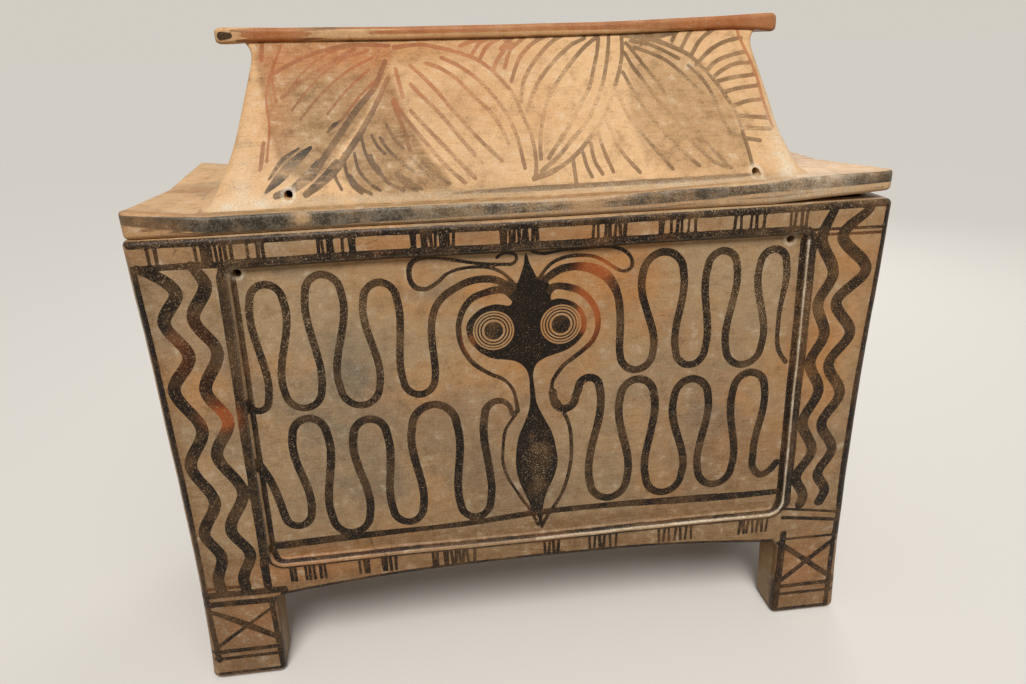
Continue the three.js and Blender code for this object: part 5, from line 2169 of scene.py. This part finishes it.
class ClayPaint(bpy.types.PropertyGroup):
    chest_clay: colour("Chest clay", "Fired clay of the chest", "b39672")
    # Grey of the chest's clay; it also paints the shade on its lower panel and feet
    chest_ash: colour("Chest ash", "Greyer clay where the smoke lay", "7f7564")
    lid_clay: colour("Lid clay", "Fired clay of the lid", "e0b584")
    # Dull tone of the lid; it also paints the shade at the ends of the slopes, which get less light than the
    # middle
    lid_ash: colour("Lid ash", "Duller clay of the lid", "a5835a")
    glow: colour("Warm clay", "Clay fired redder", "c18a54")
    # Dark brown of the thin wash on the chest; it also paints the shade towards the chest's foot
    chest_haze: colour("Chest haze", "Dirt and thin brown wash on the chest", "7d5c3b")
    lid_haze: colour("Lid haze", "Thin brown wash on the lid", "8f6c44")
    wash: colour("Orange wash", "Thin wash that fired orange", "b4713e")
    stain: colour("Stain", "Brown stains and grits in the clay", "6d4f31")
    slip_dark: colour("Dark slip", "Thickly painted slip", "181009")
    slip_brown: colour("Brown slip", "Thinly painted slip", "553b22")
    slip_rust: colour("Rust slip", "Slip that fired orange", "a8582c")
    # Whitish tone of chalky specks, and of the painted highlights
    pale: colour("Pale clay", "Chalky edges and scratches", "e4d6bd")


class ChestStage(bpy.types.PropertyGroup):
    sun_strength: FloatProperty(name="Skylight", description="Light from above the front", default=2.2)
    key_power: FloatProperty(name="Key light", description="Light on the lid", default=12, unit="POWER")
    fill_power: FloatProperty(name="Fill light", description="Light from behind", default=16, unit="POWER")
    world_strength: FloatProperty(name="Room light", description="Light from all round", default=0.3)
    floor: colour("Floor", "The floor and the backdrop", "e9e6e1")
    backdrop: colour("Backdrop", "The room as it looks behind the floor", "d2cdc4")
    floor_bounce: colour("Floor bounce", "The floor as it lights the chest", "8f8578")


# One operator for each group of like pieces, and one for the stage


class PieceOperator(bpy.types.Operator):
    bl_options = {"REGISTER", "UNDO"}


class CLAYCHEST_OT_stage(PieceOperator):
    """Sets up the camera, the lights and the floor"""

    bl_idname = "claychest.stage"
    bl_label = "Stage"

    def execute(self, context):
        add_camera(context.scene)
        add_lights(context.scene)
        add_floor(context.scene)
        return {"FINISHED"}


class CLAYCHEST_OT_panels(PieceOperator):
    """Builds the four recessed panels"""

    bl_idname = "claychest.panels"
    bl_label = "Panels"

    def execute(self, context):
        for side, wall in WALLS.items():
            holes = []
            if side in ("front", "back"):
                holes = [tuple(wall.place(along, WALL - RECESS, z)) for along, z in CHEST_HOLES]
            add_chest_piece(f"{side}_panel", panel_mesh(wall, holes))
        return {"FINISHED"}


class CLAYCHEST_OT_rails(PieceOperator):
    """Builds the rails along the rim"""

    bl_idname = "claychest.rails"
    bl_label = "Rails"

    def execute(self, context):
        for side, wall in WALLS.items():
            add_chest_piece(f"{side}_rail", rail_mesh(wall))
        return {"FINISHED"}


class CLAYCHEST_OT_sills(PieceOperator):
    """Builds the arched sills under the panels"""

    bl_idname = "claychest.sills"
    bl_label = "Sills"

    def execute(self, context):
        for side, wall in WALLS.items():
            add_chest_piece(f"{side}_sill", sill_mesh(wall))
        return {"FINISHED"}


class CLAYCHEST_OT_posts(PieceOperator):
    """Builds the corner posts with their legs"""

    bl_idname = "claychest.posts"
    bl_label = "Posts and legs"

    def execute(self, context):
        for name, signs in POSTS.items():
            add_chest_piece(name, post_mesh(name, *signs))
        return {"FINISHED"}


class CLAYCHEST_OT_floor(PieceOperator):
    """Builds the chest's floor"""

    bl_idname = "claychest.floor"
    bl_label = "Chest floor"

    def execute(self, context):
        add_chest_piece("chest_floor", floor_mesh())
        return {"FINISHED"}


class CLAYCHEST_OT_slab(PieceOperator):
    """Builds the four strips of the lid's slab"""

    bl_idname = "claychest.slab"
    bl_label = "Lid slab"

    def execute(self, context):
        for name, sign in (("front_slab", -1), ("back_slab", 1)):
            add_lid_piece(name, long_slab_mesh(name, sign))
        for name, sign, reach in (("left_slab", -1, GABLE_LEFT), ("right_slab", 1, GABLE_RIGHT)):
            add_lid_piece(name, end_slab_mesh(name, sign, reach))
        return {"FINISHED"}


class CLAYCHEST_OT_gable(PieceOperator):
    """Builds the gable's two slopes and two ends"""

    bl_idname = "claychest.gable"
    bl_label = "Gable"

    def execute(self, context):
        for name, sign in (("front_slope", -1), ("back_slope", 1)):
            holes = [(x, sign * GABLE_FOOT, z) for x, z in LID_HOLES]
            add_lid_piece(name, slope_mesh(name, sign, holes))
        for name, sign, sweep in (("left_gable", -1, LEFT_SWEEP), ("right_gable", 1, RIGHT_SWEEP)):
            add_lid_piece(name, gable_mesh(name, sign, sweep))
        return {"FINISHED"}


class CLAYCHEST_OT_ridge(PieceOperator):
    """Builds the ridge plank"""

    bl_idname = "claychest.ridge"
    bl_label = "Ridge plank"

    def execute(self, context):
        add_lid_piece("ridge", ridge_mesh())
        return {"FINISHED"}


POSTS = {
    "front_left_post": (-1, -1),
    "front_right_post": (1, -1),
    "back_left_post": (-1, 1),
    "back_right_post": (1, 1),
}
OPERATORS = (
    CLAYCHEST_OT_stage,
    CLAYCHEST_OT_panels,
    CLAYCHEST_OT_rails,
    CLAYCHEST_OT_sills,
    CLAYCHEST_OT_posts,
    CLAYCHEST_OT_floor,
    CLAYCHEST_OT_slab,
    CLAYCHEST_OT_gable,
    CLAYCHEST_OT_ridge,
)


def add_chest_piece(node, mesh):
    add_piece(node, mesh, chest_paint, clay_material("chest"), "chest")


def add_lid_piece(node, mesh):
    add_piece(node, mesh, lid_paint, clay_material("lid"), "lid")


# The stage, in metres; the camera's sensor and lens are in millimetres

CAMERA_PLACE = (-0.153, -1.2682, 0.9691)
CAMERA_YAW = math.radians(6.91)
CAMERA_PITCH = math.radians(21.41)
CAMERA_ROLL = math.radians(-1.7)
SENSOR = 36
LENS = 27.02
LIT_PLACE = (0, 0, 0.8)
KEY_PLACE = (0.1, -1.5, 2.6)
KEY_SIZE = 1.3
FILL_PLACE = (1.4, 2.4, 1.9)
FILL_SIZE = 1.6
FLOOR_REACH = 80
SUN_WAY = (0.15, 1, -1.25)
SUN_SPREAD = math.radians(24)
WARM_WHITE = (1, 0.975, 0.94)


def add_camera(scene):
    data = bpy.data.cameras.new("camera")
    camera = bpy.data.objects.new("camera", data)
    scene.collection.objects.link(camera)
    data.sensor_width = SENSOR
    data.lens = LENS
    ahead = Vector((math.sin(CAMERA_YAW), math.cos(CAMERA_YAW), 0))
    forward = ahead * math.cos(CAMERA_PITCH) - Vector((0, 0, math.sin(CAMERA_PITCH)))
    level = Vector((math.cos(CAMERA_YAW), -math.sin(CAMERA_YAW), 0))
    above = level.cross(forward)
    right = math.cos(CAMERA_ROLL) * level + math.sin(CAMERA_ROLL) * above
    up = math.cos(CAMERA_ROLL) * above - math.sin(CAMERA_ROLL) * level
    turn = Matrix((right, up, -forward)).transposed()
    camera.matrix_world = Matrix.Translation(Vector(CAMERA_PLACE)) @ turn.to_4x4()
    scene.camera = camera


def add_light(scene, name, kind, energy, way, place=(0, 0, 0)):
    """A lamp that shines along a way from its place."""
    data = bpy.data.lights.new(name, kind)
    data.energy = energy
    data.color = WARM_WHITE
    light = bpy.data.objects.new(name, data)
    light.location = place
    light.rotation_mode = "QUATERNION"
    light.rotation_quaternion = Vector(way).to_track_quat("-Z", "Y")
    scene.collection.objects.link(light)
    return data


def add_area_light(scene, name, place, size, power):
    """A round lamp that faces the lid."""
    data = add_light(scene, name, "AREA", power, Vector(LIT_PLACE) - Vector(place), place)
    data.shape = "DISK"
    data.size = size


def add_lights(scene):
    """Even light from above the front, more of it on the lid, and the room all round."""
    stage = scene.chest_stage
    add_light(scene, "skylight", "SUN", stage.sun_strength, SUN_WAY).angle = SUN_SPREAD
    add_area_light(scene, "key", KEY_PLACE, KEY_SIZE, stage.key_power)
    add_area_light(scene, "back", FILL_PLACE, FILL_SIZE, stage.fill_power)
    world = bpy.data.worlds.new("room")
    world.use_nodes = True
    graph = Graph(world.node_tree)
    seen = graph.seen_directly()
    tone = graph.mix(tuple(stage.floor), tuple(stage.backdrop), seen)
    strength = seen * (1 - stage.world_strength) + stage.world_strength
    light = graph.node("ShaderNodeBackground", Color=tone, Strength=strength)
    graph.node("ShaderNodeOutputWorld", Surface=light["Background"])
    scene.world = world
    scene.view_settings.view_transform = "Standard"


def add_floor(scene):
    mesh = bpy.data.meshes.new("floor")
    reach = FLOOR_REACH
    corners = [(-reach, -reach, 0), (reach, -reach, 0), (reach, reach, 0), (-reach, reach, 0)]
    mesh.from_pydata(corners, [], [(0, 1, 2, 3)])
    floor = bpy.data.objects.new("floor", mesh)
    scene.collection.objects.link(floor)
    material = bpy.data.materials.new("floor")
    material.use_nodes = True
    graph = Graph(material.node_tree)
    stage = scene.chest_stage
    seen = graph.mix(tuple(stage.floor_bounce), tuple(stage.floor), graph.seen_directly())
    shade = graph.node("ShaderNodeBsdfDiffuse", Color=seen)
    graph.node("ShaderNodeOutputMaterial", Surface=shade["BSDF"])
    mesh.materials.append(material)


class CLAYCHEST_PT_sidebar(bpy.types.Panel):
    bl_label = "Clay chest"
    bl_idname = "CLAYCHEST_PT_sidebar"
    bl_space_type = "VIEW_3D"
    bl_region_type = "UI"
    bl_category = "Clay chest"

    def draw(self, context):
        for operator in OPERATORS:
            self.layout.operator(operator.bl_idname)
        for group in (context.scene.clay_shape, context.scene.clay_paint, context.scene.chest_stage):
            for name in group.__annotations__:
                self.layout.prop(group, name)


CLASSES = (ClayShape, ClayPaint, ChestStage, *OPERATORS, CLAYCHEST_PT_sidebar)


def register():
    for each in CLASSES:
        bpy.utils.register_class(each)
    bpy.types.Scene.clay_shape = PointerProperty(type=ClayShape)
    bpy.types.Scene.clay_paint = PointerProperty(type=ClayPaint)
    bpy.types.Scene.chest_stage = PointerProperty(type=ChestStage)


def unregister():
    del bpy.types.Scene.chest_stage
    del bpy.types.Scene.clay_paint
    del bpy.types.Scene.clay_shape
    for each in reversed(CLASSES):
        bpy.utils.unregister_class(each)


def main():
    register()
    for operator in OPERATORS:
        group, name = operator.bl_idname.split(".")
        getattr(getattr(bpy.ops, group), name)()


if __name__ == "__main__":
    main()
